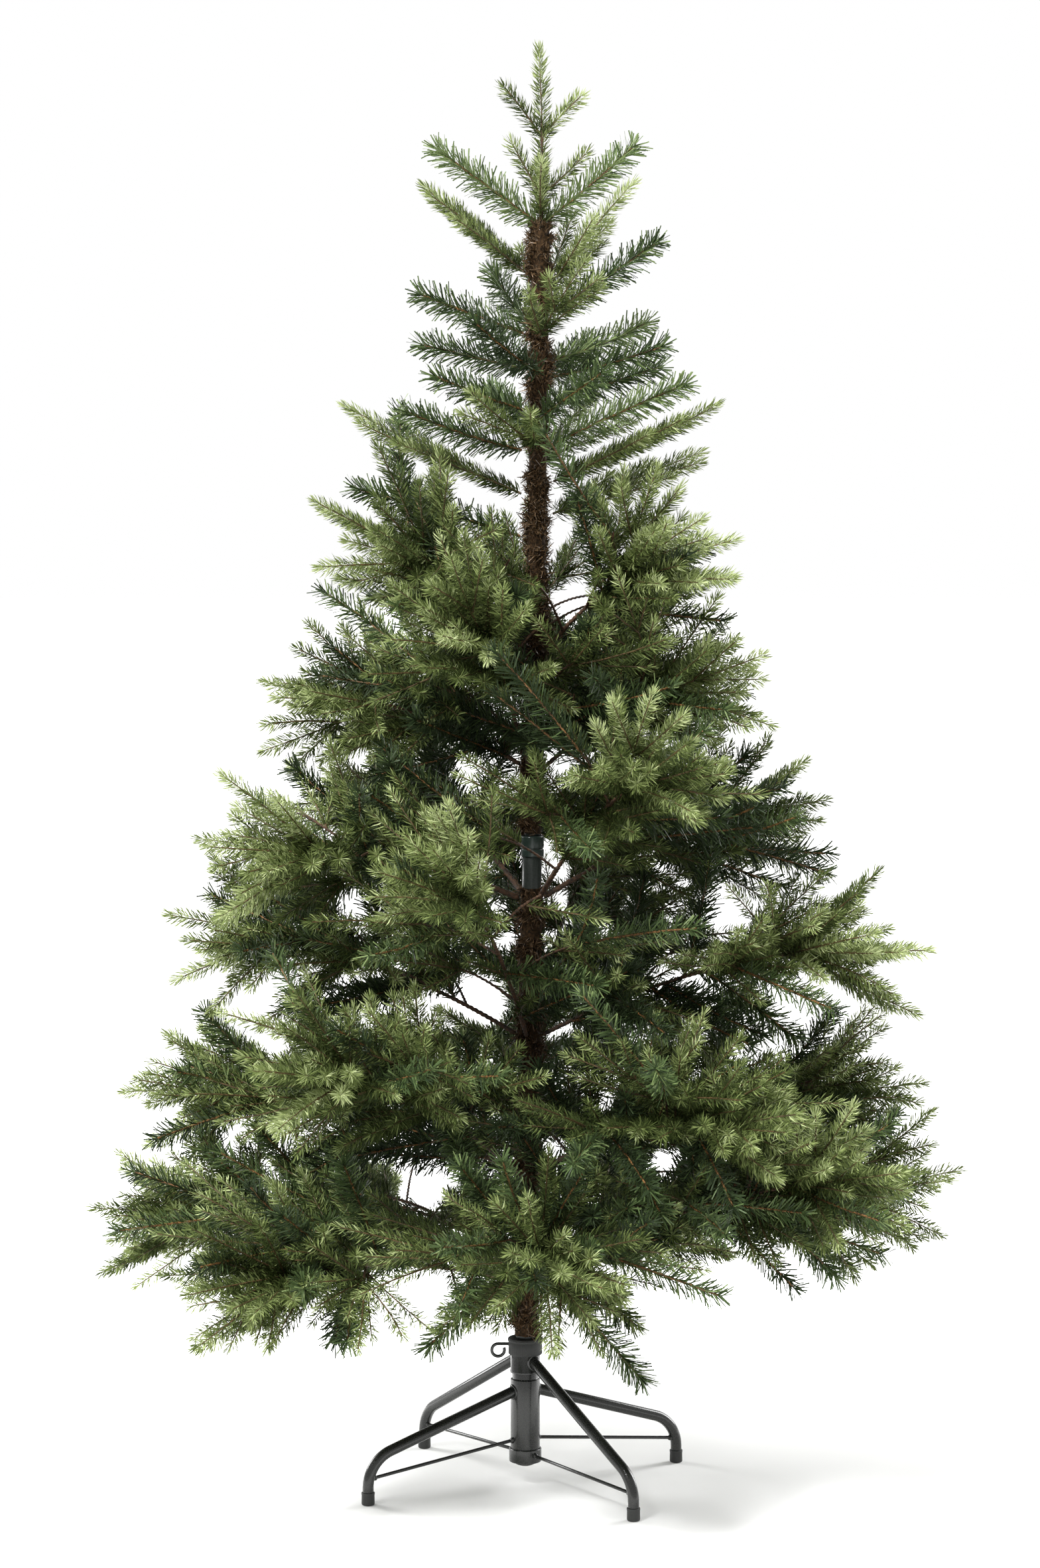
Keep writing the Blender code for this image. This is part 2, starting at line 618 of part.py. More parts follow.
def drooping(name, stem):
    """The sprays that hang from a mass below the rest of the crown."""
    made = []
    for mass_name, share, kind, azimuth, fall, size in DROOPS:
        if mass_name == name:
            axis = outward(azimuth, -fall)
            side = axis.cross(Vector((0.0, 0.0, 1.0)))
            root = stem[int(share * (len(stem) - 1))]
            made.append(spray(kind, root, axis, side, size, DROOP_BOTTOM))
    return made


def top_plan():
    """Short masses beside the pole: sprays that leave an upright stem one over another.

    The highest comes last, because the last of a mass's sprays are the first placed."""
    plan = []
    beside = WRAP_RADIUS + BOUGH_TIP_RADIUS + GAP
    for number, (azimuth, rows) in enumerate(TOP_MASSES):
        high, low = rows[0][0] + TOP_STEM_ENDS, rows[-1][0] - TOP_STEM_ENDS
        stem = [pole_centre(height) + polar(beside, azimuth, 0.0)
                for height in (low, 0.5 * (low + high), high)]
        made = []
        for height, turn, kind, rise, size in rows:
            axis = outward(azimuth + turn, rise)
            root = pole_centre(height) + polar(beside, azimuth, 0.0)
            made.append(spray(kind, root, axis, axis.cross(Vector((0.0, 0.0, 1.0))), size))
        plan.append((f"upper_{number + 1}", stem, made[::-1]))
    return plan


def leader_plan():
    """The leader over the pole: a tip with two pairs of fingers and a V of brushes."""
    foot = pole_centre(WRAP_TOP + GAP)
    top = pole_centre(WRAP_TOP + LEADER_STEM)
    stem = [foot, foot.lerp(top, 0.5), top]
    last = foot.lerp(top, LEADER_START)
    made = []
    for share, azimuth, rise, kind, size in LEADER_SPRAYS:
        axis = outward(azimuth, rise)
        side = axis.cross(Vector((0.0, 0.0, 1.0)))
        made.append(spray(kind, foot.lerp(top, share), axis, side, size))
    made.append(spray("sprig", last, Vector((LEADER_SWAY, 0.0, 1.0)),
                      Vector((1.0, 0.0, 0.0)), LEADER_TIP - last.z))
    return ("leader", stem, made)


def crown_plan():
    """All boughs, and all masses with the sprays that find room, tips first."""
    chance = random.Random(SEED)
    tiers = tier_plan(chance)
    boughs = [(name, bough) for name, bough, _stem, _sprays in tiers if bough]
    wanted = [(name, stem, sprays) for name, _bough, stem, sprays in tiers]
    wanted += top_plan()
    wanted.append(leader_plan())
    limbs = [line_samples([(pole_centre(WRAP_BOTTOM), pole_centre(WRAP_TOP))], WRAP_RADIUS)]
    limbs += [line_samples(list(zip(path, path[1:])), BOUGH_ROOT_RADIUS)
              for _name, path in boughs]
    taken = [[line_samples(list(zip(stem, stem[1:])), BOUGH_TIP_RADIUS)]
             for _name, stem, _sprays in wanted]
    grown = [[np.full((1, 4), -9.0)] for _mass in wanted]
    masses = [(name, stem, []) for name, stem, _sprays in wanted]
    for turn in range(max(len(sprays) for _name, _stem, sprays in wanted)):
        for number, (_name, _stem, sprays) in enumerate(wanted):
            if turn >= len(sprays):
                continue
            item = sprays[-1 - turn]
            rows = samples(item)
            from_root = np.linalg.norm(rows[:, :3] - np.array(item["root"]), axis=1)
            outer = rows[from_root > ROOT_ROOM]
            others = np.concatenate(limbs + [part for owner, parts in enumerate(taken)
                                             if owner != number for part in parts])
            slim = outer * (1.0, 1.0, 1.0, OWN_ROOM)
            if is_clear(outer, others) and is_clear(slim, np.concatenate(grown[number])):
                taken[number].append(rows)
                grown[number].append(slim)
                masses[number][2].append(item)
    return boughs, masses


# ---------------------------------------------------------------- foliage solids

def brush_mesh():
    """A slim spindle, one long along +X, with two whorls of needles standing out."""
    shape = bmesh.new()
    bmesh.ops.create_uvsphere(shape, u_segments=BRUSH_SIDES, v_segments=3, radius=1.0)
    for vert in shape.verts:
        x, y, z = vert.co
        if abs(z) > 0.99:
            vert.co = (1.0 if z > 0 else 0.0, 0.0, 0.0)
            continue
        whorl = 1 if z > 0 else 0
        place, core = BRUSH_WHORLS[whorl]
        angle = math.atan2(y, x)
        spike = (round(angle * BRUSH_SIDES / math.tau) + whorl) % 2 == 0
        radius = 1.0 if spike else core
        along = place + (SPIKE_LEAN if spike else 0.0)
        vert.co = (along, radius * math.cos(angle), radius * math.sin(angle))
    return finish_spray(shape, "brush")


def sprig_mesh():
    """A flat five-fingered blade, one long along +X, thick in the middle.

    The rim runs from the leading tip over notches and finger tips to the root."""
    (_low, *low_tip), (_high, *high_tip) = FINGER_PAIRS
    high_notch, low_notch = FINGER_NOTCHES
    outline = ((1.0, 0.0), high_notch, high_tip, low_notch, low_tip, (0.0, 0.0))
    corners = 2 * (len(outline) - 1)
    shape = bmesh.new()
    bmesh.ops.create_uvsphere(shape, u_segments=corners, v_segments=2, radius=1.0)
    for vert in shape.verts:
        x, y, z = vert.co
        if abs(z) > 0.5:
            vert.co = (0.5, 0.0, 0.5 if z > 0 else -0.5)
            continue
        step = round(math.atan2(y, x) * corners / math.tau)
        along, out = outline[abs(step)]
        vert.co = (along, math.copysign(out, step), 0.0)
    return finish_spray(shape, "sprig")


def finish_spray(shape, name):
    bmesh.ops.triangulate(shape, faces=shape.faces, quad_method="SHORT_EDGE")
    bmesh.ops.recalc_face_normals(shape, faces=shape.faces)
    mesh = bpy.data.meshes.new(name)
    shape.to_mesh(mesh)
    shape.free()
    return mesh


def place_spray(item, meshes, spare):
    made = bpy.data.objects.new(item["kind"], meshes[item["kind"]])
    spare.objects.link(made)
    axis, side = item["axis"], item["side"]
    normal = axis.cross(side)
    if item["kind"] == "sprig":
        width, depth = item["length"], SPRIG_THICKNESS
    else:
        width = depth = WIDTHS[item["kind"]]
    turn = Matrix((axis, side, normal)).transposed().to_4x4()
    sizes = Matrix.Diagonal((item["length"] + SINK, width, depth, 1.0))
    made.matrix_world = Matrix.Translation(item["root"] - axis * SINK) @ turn @ sizes


def mass(name, stem, sprays, meshes, collection, spare):
    """One mass: a four-sided stem with its sprays fused on."""
    path = thinned(stem, min(STEM_POINTS, len(stem)))
    path[0] = path[0] + (path[1] - path[0]).normalized() * GAP
    radii = tapered(BOUGH_TIP_RADIUS, STEM_TIP_RADIUS, len(path))
    made = as_mesh(tube("foliage_" + name, path, radii, "foliage", collection, sides=0))
    for item in sprays:
        place_spray(item, meshes, spare)
    boolean_all(made, spare)
    return made


def build_crown(collection, spare):
    boughs, masses = crown_plan()
    spindle = brush_mesh()
    meshes = {"brush": spindle, "finger": spindle, "sprig": sprig_mesh()}
    for name, path in boughs:
        points = thinned(path, BOUGH_POINTS)
        radii = tapered(BOUGH_ROOT_RADIUS, BOUGH_TIP_RADIUS, BOUGH_POINTS)
        tube("bough_" + name, points, radii, "bough_wire", collection)
    for name, stem, sprays in masses:
        mass(name, stem, sprays, meshes, collection, spare)


def main():
    clear_scene()
    tree = new_collection("artificial_spruce")
    cutters = new_collection("cutters")
    spare = new_collection("spare")
    build_stand(tree, cutters, spare)
    build_pole(tree)
    build_crown(tree, spare)


main()
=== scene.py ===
import math
import random

import bpy
import numpy as np
from mathutils import Matrix, Vector


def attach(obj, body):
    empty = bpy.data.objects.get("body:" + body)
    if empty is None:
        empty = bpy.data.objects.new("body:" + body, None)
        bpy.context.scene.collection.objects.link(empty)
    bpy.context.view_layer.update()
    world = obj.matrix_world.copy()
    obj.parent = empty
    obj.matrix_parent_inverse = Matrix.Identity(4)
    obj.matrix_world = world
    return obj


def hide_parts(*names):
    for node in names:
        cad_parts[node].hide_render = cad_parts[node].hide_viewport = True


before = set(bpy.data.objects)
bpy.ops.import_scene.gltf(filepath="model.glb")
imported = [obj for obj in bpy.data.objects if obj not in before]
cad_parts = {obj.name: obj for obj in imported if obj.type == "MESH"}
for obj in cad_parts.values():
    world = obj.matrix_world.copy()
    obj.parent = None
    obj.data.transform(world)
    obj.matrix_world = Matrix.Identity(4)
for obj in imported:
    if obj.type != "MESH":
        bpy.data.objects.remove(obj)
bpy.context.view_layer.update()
bpy.ops.object.select_all(action="DESELECT")


# ---- camera
# A studio camera on a long lens, level with the upper crown and tipped down a little,
# so that the whole tree stands in an upright frame.
FRAME_TALL_PIXELS, FOCAL_PIXELS, SENSOR_LONG_SIDE = 2363, 6000.0, 36.0
CAMERA_PLACE, CAMERA_TIP, CAMERA_TURN = (0.0, -4.9633, 1.3082), 4.809, 0.0776
bpy.ops.object.camera_add(
    location=CAMERA_PLACE,
    rotation=(math.radians(90.0 - CAMERA_TIP), 0.0, math.radians(CAMERA_TURN)))
studio_camera = bpy.context.object
studio_camera.name = "studio_camera"
studio_camera.data.sensor_width = SENSOR_LONG_SIDE
studio_camera.data.lens = FOCAL_PIXELS / FRAME_TALL_PIXELS * SENSOR_LONG_SIDE
bpy.context.scene.camera = studio_camera


# ---- floor and light
# A white studio floor under a white sky of light, with a broad key from the upper left
# front and two lights behind that put pale rims on the outer tips.
COAT_ROUGHNESS = 0.12
TONE_STOPS, GLOSS_STOPS = (0.35, 0.65), (0.3, 0.7)      # where the noise turns a finish over


def set_inputs(node, values):
    for name, value in values.items():
        node.inputs[name].default_value = value


def mottled(name, tones, grain, rough, relief=0.0, metallic=0.0, coat=0.0, detail=3.0,
            shine=0.5):
    """A finish: two tones mottled by noise, uneven gloss, and a fine relief.

    Tones are two colours, grain the noise's scale per metre, rough the lowest and
    highest roughness, and relief the height of the bumps in metres."""
    made = bpy.data.materials.new(name)
    made.use_nodes = True
    nodes, links = made.node_tree.nodes, made.node_tree.links
    shader = nodes["Principled BSDF"]
    set_inputs(shader, {"Metallic": metallic, "Coat Weight": coat,
                        "Coat Roughness": COAT_ROUGHNESS, "Specular IOR Level": shine})
    place = nodes.new("ShaderNodeTexCoord")
    noise = nodes.new("ShaderNodeTexNoise")
    set_inputs(noise, {"Scale": grain, "Detail": detail})
    links.new(place.outputs["Object"], noise.inputs["Vector"])
    tone = nodes.new("ShaderNodeValToRGB")
    for stop, position, colour in zip(tone.color_ramp.elements, TONE_STOPS, tones):
        stop.position, stop.color = position, (*colour, 1.0)
    links.new(noise.outputs["Fac"], tone.inputs["Fac"])
    links.new(tone.outputs["Color"], shader.inputs["Base Color"])
    gloss = nodes.new("ShaderNodeMapRange")
    set_inputs(gloss, {"From Min": GLOSS_STOPS[0], "From Max": GLOSS_STOPS[1],
                       "To Min": rough[0], "To Max": rough[1]})
    links.new(noise.outputs["Fac"], gloss.inputs["Value"])
    links.new(gloss.outputs["Result"], shader.inputs["Roughness"])
    if relief:
        bumps = nodes.new("ShaderNodeBump")
        set_inputs(bumps, {"Strength": 1.0, "Distance": relief})
        links.new(noise.outputs["Fac"], bumps.inputs["Height"])
        links.new(bumps.outputs["Normal"], shader.inputs["Normal"])
    return made


FLOOR_SIZE = 60.0
bpy.ops.mesh.primitive_plane_add(size=FLOOR_SIZE)
studio_floor = bpy.context.object
studio_floor.name = "studio_floor"
studio_floor.data.materials.append(
    mottled("floor_white", ((0.9, 0.9, 0.89), (0.94, 0.94, 0.93)), 1.5, (0.85, 0.95)))

studio_world = bpy.data.worlds.new("studio_world")
bpy.context.scene.world = studio_world
studio_world.use_nodes = True
sky_nodes, sky_links = studio_world.node_tree.nodes, studio_world.node_tree.links
sky = sky_nodes["Background"]
sky.inputs["Color"].default_value = (1.0, 1.0, 1.0, 1.0)
SKY_SEEN, SKY_LIGHT = 1.0, 0.68        # strength that the camera sees, and that lights
seen = sky_nodes.new("ShaderNodeLightPath")
strength = sky_nodes.new("ShaderNodeMapRange")
set_inputs(strength, {"To Min": SKY_LIGHT, "To Max": SKY_SEEN})
sky_links.new(seen.outputs["Is Camera Ray"], strength.inputs["Value"])
sky_links.new(strength.outputs["Result"], sky.inputs["Strength"])
bpy.context.scene.view_settings.view_transform = "Standard"

KEY_TURN, KEY_HEIGHT, KEY_POWER, KEY_WIDTH = -38.0, 48.0, 5.0, 14.0
bpy.ops.object.light_add(
    type="SUN",
    rotation=(math.radians(90.0 - KEY_HEIGHT), 0.0, math.radians(KEY_TURN)))
key_light = bpy.context.object
key_light.name = "key_light"
key_light.data.energy = KEY_POWER
key_light.data.angle = math.radians(KEY_WIDTH)

# name, place, aimed at, power in watts, width and height
SOFT_LIGHTS = (
    ("rim_left", (-2.6, 1.7, 1.9), (0.0, 0.0, 0.9), 110.0, 1.2, 2.4),
    ("rim_right", (2.6, 1.7, 1.7), (0.0, 0.0, 0.9), 110.0, 1.2, 2.4),
)
for name, place, aim, power, wide, tall in SOFT_LIGHTS:
    bpy.ops.object.light_add(type="AREA", location=place)
    soft_light = bpy.context.object
    soft_light.name = name
    toward = Vector(aim) - Vector(place)
    soft_light.rotation_euler = toward.to_track_quat("-Z", "Y").to_euler()
    soft_light.data.shape = "RECTANGLE"
    soft_light.data.size, soft_light.data.size_y = wide, tall
    soft_light.data.energy = power


# ---- stand tube
# The upright socket of the folding stand: a steel tube in gloss black paint, with a
# narrower neck for the swivelling sleeve and a small studded end pressed in below.
TUBE_RADIUS, NECK_RADIUS, TUBE_BORE = 0.0185, 0.0165, 0.015
TUBE_BOTTOM, TUBE_FLOOR, TUBE_SHOULDER = 0.0285, 0.035, 0.1351
SLEEVE_BOTTOM, SLEEVE_TOP = 0.1436, 0.1672
SLIP = 0.0003                   # play between parts that slide or turn
STUD_RADIUS, STUD_BOTTOM, STUD_SIDES, STUD_TOOTH = 0.011, 0.0231, 24, 0.001
STUD_SMOOTH = (4, 5, 18, 19, 20, 21, 22)   # its sides without a tooth, counted from +X
SMOOTH_ANGLE = math.radians(38.0)

black_enamel = mottled("black_enamel", ((0.01, 0.011, 0.01), (0.017, 0.018, 0.016)),
                       900.0, (0.2, 0.34), relief=0.00003, coat=0.35, shine=0.4)


def put_in_place(made):
    """Takes the object's place and turn into its mesh."""
    bpy.ops.object.select_all(action="DESELECT")
    made.select_set(True)
    bpy.context.view_layer.objects.active = made
    bpy.ops.object.transform_apply(location=True, rotation=True, scale=True)


def start_disc(name, radius, sides, place, turn=(0.0, 0.0, 0.0)):
    """A filled disc in edit mode, selected, ready to be drawn out."""
    bpy.ops.object.select_all(action="DESELECT")
    bpy.ops.mesh.primitive_circle_add(vertices=sides, radius=radius, fill_type="NGON",
                                      location=place, rotation=turn)
    made = bpy.context.object
    put_in_place(made)
    made.name = made.data.name = name
    bpy.ops.object.mode_set(mode="EDIT")
    bpy.ops.mesh.select_all(action="SELECT")
    return made


def draw_out(x, y, z):
    bpy.ops.mesh.extrude_region_move(TRANSFORM_OT_translate={"value": (x, y, z)})


def end_edit():
    bpy.ops.mesh.select_all(action="SELECT")
    bpy.ops.mesh.remove_doubles(threshold=0.000001)
    bpy.ops.mesh.normals_make_consistent(inside=False)
    bpy.ops.object.mode_set(mode="OBJECT")


def lathe(name, profile, sides=64):
    """A turned piece: a disc drawn through rings of (radius, height), wall by wall."""
    radius, height = profile[0]
    made = start_disc(name, radius, sides, (0.0, 0.0, height))
    for next_radius, next_height in profile[1:]:
        draw_out(0.0, 0.0, next_height - height)
        scale = next_radius / radius
        bpy.ops.transform.resize(value=(scale, scale, 1.0),
                                 center_override=(0.0, 0.0, next_height))
        radius, height = next_radius, next_height
    end_edit()
    return made


def raise_selected(depth):
    """Raises each selected face by itself, from a little inside its edges."""
    bpy.ops.object.mode_set(mode="EDIT")
    bpy.ops.mesh.inset(thickness=0.0002, depth=depth, use_individual=True)
    end_edit()


def soften(made, width, segments=2):
    """Rounds the sharp edges, and smooths the rest."""
    bpy.context.view_layer.objects.active = made
    bevel = made.modifiers.new("soft_edges", "BEVEL")
    bevel.width = width
    bevel.segments = segments
    bevel.limit_method = "ANGLE"
    bevel.angle_limit = SMOOTH_ANGLE
    bpy.ops.object.modifier_apply(modifier="soft_edges")
    bpy.ops.object.shade_smooth_by_angle(angle=SMOOTH_ANGLE)
    return made


def fit(made, finish, slot, *nodes):
    """Gives a piece its finish and hides the CAD nodes that it stands for. The slot is not used."""
    made.data.materials.clear()
    made.data.materials.append(finish)
    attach(made, "root")
    if nodes:
        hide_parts(*nodes)


def joined(name, parts):
    """Several parts made one piece."""
    bpy.ops.object.select_all(action="DESELECT")
    for part in parts:
        part.select_set(True)
    bpy.context.view_layer.objects.active = parts[0]
    bpy.ops.object.join()
    made = bpy.context.object
    made.name = made.data.name = name
    return made


socket = lathe("socket", (
    (TUBE_RADIUS - 0.0012, TUBE_BOTTOM), (TUBE_RADIUS, TUBE_BOTTOM + 0.0012),
    (TUBE_RADIUS, TUBE_SHOULDER), (NECK_RADIUS, TUBE_SHOULDER + 0.001),
    (NECK_RADIUS, SLEEVE_TOP), (TUBE_BORE, SLEEVE_TOP), (TUBE_BORE, TUBE_FLOOR)))
soften(socket, 0.0005)
stud = lathe("stud", ((STUD_RADIUS * 0.5, STUD_BOTTOM), (STUD_RADIUS, STUD_BOTTOM + 0.002),
                      (STUD_RADIUS, TUBE_BOTTOM + 0.001)), STUD_SIDES)
bpy.ops.object.mode_set(mode="EDIT")
bpy.ops.mesh.select_all(action="DESELECT")
bpy.ops.object.mode_set(mode="OBJECT")
for face in stud.data.polygons:
    side = math.floor(math.atan2(face.center.y, face.center.x) / math.tau * STUD_SIDES)
    face.select = abs(face.normal.z) < 0.3 and side % STUD_SIDES not in STUD_SMOOTH
raise_selected(STUD_TOOTH)
soften(stud, 0.0002, 1)
fit(joined("stand_tube_painted", [socket, stud]), black_enamel, "black_enamel", "stand_tube")


# ---- swivel sleeve
# A short steel sleeve that turns on the tube's neck, so that two of the legs swing
# round for storage. Its lower rim is rolled outwards a little.
SLEEVE_RADIUS = 0.0187
RIM = 0.0005
sleeve = lathe("swivel_sleeve_painted", (
    (SLEEVE_RADIUS - 0.001, SLEEVE_BOTTOM), (SLEEVE_RADIUS + RIM, SLEEVE_BOTTOM),
    (SLEEVE_RADIUS + RIM, SLEEVE_BOTTOM + 0.0022), (SLEEVE_RADIUS, SLEEVE_BOTTOM + 0.003),
    (SLEEVE_RADIUS, SLEEVE_TOP), (NECK_RADIUS + SLIP, SLEEVE_TOP),
    (NECK_RADIUS + SLIP, SLEEVE_BOTTOM + 0.0005)))
fit(soften(sleeve, 0.0004), black_enamel, "black_enamel", "swivel_sleeve")


# ---- legs
# Four legs of 14 mm steel tube in gloss black paint. Each goes up from its foot cap,
# round one bend, and straight up to the tube or the sleeve, where it is welded.
FOOT_REACH = 0.2224
LEG_RADIUS, LEG_BEND, LEG_BEND_START = 0.007, 0.045, 0.022
CAP_HEIGHT = 0.016
# place, azimuth, slope in degrees, radius of what it is welded to
LEGS = (("back_right", 28.5, 17.6, TUBE_RADIUS), ("front_left", 208.5, 17.6, TUBE_RADIUS),
        ("back_left", 126.6, 28.3, SLEEVE_RADIUS), ("front_right", 306.6, 28.3, SLEEVE_RADIUS))
LEG_FOOT, WELD_DEPTH = 0.01, 0.0025        # start inside the cap, end inside the tube
WELD_RADIUS, WELD_BEAD, WELD_LUMP = 0.0078, 0.0015, 0.0012


def cloudy(name, size):
    made = bpy.data.textures.new(name, "CLOUDS")
    made.noise_scale = size
    return made


def lumpy(made, texture, strength, level):
    """Pushes a mesh in and out by a cloudy texture."""
    bpy.context.view_layer.objects.active = made
    lumps = made.modifiers.new("lumps", "DISPLACE")
    lumps.texture, lumps.texture_coords = texture, "GLOBAL"
    lumps.strength, lumps.mid_level = strength, level
    bpy.ops.object.modifier_apply(modifier="lumps")


def weld_lumpy(made, strength):
    lumpy(made, weld_lumps, strength, 0.4)
    bpy.ops.object.shade_smooth()


def turn_mesh(made, azimuth):
    made.data.transform(Matrix.Rotation(math.radians(azimuth), 4, "Z"))


weld_lumps = cloudy("weld_lumps", 0.004)


def leg_tube(name, slope, join_radius):
    """A leg along +X, foot first: a disc drawn up, spun round the bend, drawn inwards."""
    made = start_disc(name, LEG_RADIUS, 24, (FOOT_REACH, 0.0, LEG_FOOT))
    draw_out(0.0, 0.0, LEG_BEND_START - LEG_FOOT)
    turn = math.radians(90.0 - slope)
    bpy.ops.mesh.spin(steps=14, angle=turn, axis=(0.0, 1.0, 0.0),
                      center=(FOOT_REACH - LEG_BEND, 0.0, LEG_BEND_START))
    across = FOOT_REACH - LEG_BEND * (1.0 - math.cos(turn)) - (join_radius - WELD_DEPTH)
    draw_out(-across, 0.0, across * math.tan(math.radians(slope)))
    end_edit()
    return soften(made, 0.0006)


def join_height(slope, join_radius):
    """Height at which a leg's middle line meets what it is welded to."""
    turn = math.radians(90.0 - slope)
    last = FOOT_REACH - LEG_BEND * (1.0 - math.cos(turn))
    rise = (last - join_radius) * math.tan(math.radians(slope))
    return LEG_BEND_START + LEG_BEND * math.sin(turn) + rise


def weld(slope, join_radius, height):
    """A lumpy bead round the end of a bar, wrapped on the tube that it is welded to."""
    bpy.ops.object.select_all(action="DESELECT")
    bpy.ops.mesh.primitive_torus_add(major_radius=WELD_RADIUS, minor_radius=WELD_BEAD,
                                     major_segments=36, minor_segments=8,
                                     rotation=(0.0, math.pi / 2, 0.0))
    made = bpy.context.object
    put_in_place(made)
    stretch = 1.0 / math.cos(math.radians(slope))
    for vert in made.data.vertices:
        bulge = math.sqrt(max(0.0, join_radius ** 2 - vert.co.y ** 2))
        vert.co.x += bulge
        vert.co.z = vert.co.z * stretch + height
    weld_lumpy(made, WELD_LUMP)
    return made


for place, azimuth, slope, join_radius in LEGS:
    tube = leg_tube("tube", slope, join_radius)
    seam = weld(slope, join_radius, join_height(slope, join_radius))
    whole = joined(f"leg_{place}_painted", [tube, seam])
    turn_mesh(whole, azimuth)
    fit(whole, black_enamel, "black_enamel", f"leg_{place}")


# ---- foot caps
# A soft black plastic cap pushed over the end of each leg, rounded under, with a thin
# lip at its mouth.
CAP_RADIUS = 0.00825
black_plastic = mottled("black_plastic", ((0.016, 0.017, 0.016), (0.03, 0.031, 0.029)),
                        1400.0, (0.48, 0.66), relief=0.00006)
for place, azimuth, _slope, _join in LEGS:
    cap = lathe(f"foot_cap_{place}_moulded", (
        (CAP_RADIUS - 0.0022, 0.0), (CAP_RADIUS - 0.0006, 0.0007), (CAP_RADIUS, 0.0022),
        (CAP_RADIUS - 0.0002, CAP_HEIGHT - 0.003), (CAP_RADIUS + 0.0001, CAP_HEIGHT - 0.0024),
        (CAP_RADIUS + 0.0001, CAP_HEIGHT), (LEG_RADIUS + 0.0002, CAP_HEIGHT + 0.0003),
        (LEG_RADIUS + 0.0001, CAP_HEIGHT - 0.005)), sides=40)
    soften(cap, 0.0002)
    cap.data.transform(Matrix.Translation((FOOT_REACH, 0.0, 0.0)))
    turn_mesh(cap, azimuth)
    fit(cap, black_plastic, "black_plastic", f"foot_cap_{place}")


# ---- braces
# A thin steel rod from each leg's upright to the tube, welded at both ends. The two of
# the swinging legs are welded to a ring that turns round the foot of the tube.
BRACE_RADIUS, BRACE_FOOT_HEIGHT = 0.0022, 0.033
FIXED_BRACE_HEIGHT, SWIVEL_BRACE_HEIGHT = 0.0575, 0.039
RING_RADIUS, RING_BOTTOM, RING_TOP = 0.0205, 0.0288, 0.0462
BEAD_RADIUS, BEAD_LUMP = 0.0036, 0.0016


def brace_rod(name, inner, height):
    """A rod along +X from the leg's bend in to the tube, with a bead at either end."""
    lift = math.asin((BRACE_FOOT_HEIGHT - LEG_BEND_START) / LEG_BEND)
    outer = FOOT_REACH - LEG_BEND * (1.0 - math.cos(lift)) - LEG_RADIUS + 0.0015
    run, rise = outer - inner, height - BRACE_FOOT_HEIGHT
    tip = math.atan2(run, -rise)
    parts = [start_disc(name, BRACE_RADIUS, 14, (inner, 0.0, height), (0.0, tip, 0.0))]
    draw_out(run, 0.0, -rise)
    end_edit()
    soften(parts[0], 0.0002)
    for across, up in ((inner + 0.0015, height), (outer - 0.002, BRACE_FOOT_HEIGHT)):
        bpy.ops.mesh.primitive_ico_sphere_add(subdivisions=3, radius=BEAD_RADIUS,
                                              location=(across, 0.0, up))
        parts.append(bpy.context.object)
        put_in_place(parts[-1])
        weld_lumpy(parts[-1], BEAD_LUMP)
    return joined(name, parts)


for place, azimuth, _slope, _join in LEGS[:2]:
    rod = brace_rod(f"brace_{place}_painted", TUBE_RADIUS - 0.001, FIXED_BRACE_HEIGHT)
    turn_mesh(rod, azimuth)
    fit(rod, black_enamel, "black_enamel", f"brace_{place}")
ring = lathe("ring", (
    (RING_RADIUS - 0.0008, RING_BOTTOM), (RING_RADIUS, RING_BOTTOM + 0.0008),
    (RING_RADIUS, RING_TOP - 0.0008), (RING_RADIUS - 0.0008, RING_TOP),
    (TUBE_RADIUS + SLIP, RING_TOP), (TUBE_RADIUS + SLIP, RING_BOTTOM + 0.0005)))
soften(ring, 0.0003)
swivel_parts = [ring]
for _place, azimuth, _slope, _join in LEGS[2:]:
    rod = brace_rod("rod", RING_RADIUS - 0.001, SWIVEL_BRACE_HEIGHT)
    turn_mesh(rod, azimuth)
    swivel_parts.append(rod)
fit(joined("swivel_brace_painted", swivel_parts), black_enamel, "black_enamel", "swivel_brace")


# ---- cuff and screw
# A ribbed black plastic cuff closes the top of the sleeve round the pole. A bent rod
# with an eye for the fingers screws in through its side and clamps the pole.
POLE_RADIUS = 0.0122
CUFF_RADIUS, CUFF_TOP = 0.0215, 0.1875
CUFF_BOTTOM = SLEEVE_TOP + SLIP
RIB_DEPTH = 0.0007
cuff = lathe("pole_cuff_moulded", (
    (CUFF_RADIUS - RIB_DEPTH, CUFF_BOTTOM), (CUFF_RADIUS - RIB_DEPTH, CUFF_TOP - 0.0042),
    (CUFF_RADIUS, CUFF_TOP - 0.0036), (CUFF_RADIUS, CUFF_TOP - 0.0008),
    (CUFF_RADIUS - 0.0012, CUFF_TOP), (POLE_RADIUS + 0.0006, CUFF_TOP),
    (POLE_RADIUS + 0.0006, CUFF_BOTTOM + 0.001)), sides=72)
for face in cuff.data.polygons:
    high, wide = face.center.z, math.hypot(face.center.x, face.center.y)
    face.select = (abs(face.normal.z) < 0.2 and wide > CUFF_RADIUS - 0.0012
                   and high < CUFF_TOP - 0.0045 and face.index % 2 == 0)
raise_selected(RIB_DEPTH)
fit(soften(cuff, 0.00015, 1), black_plastic, "black_plastic", "pole_cuff")

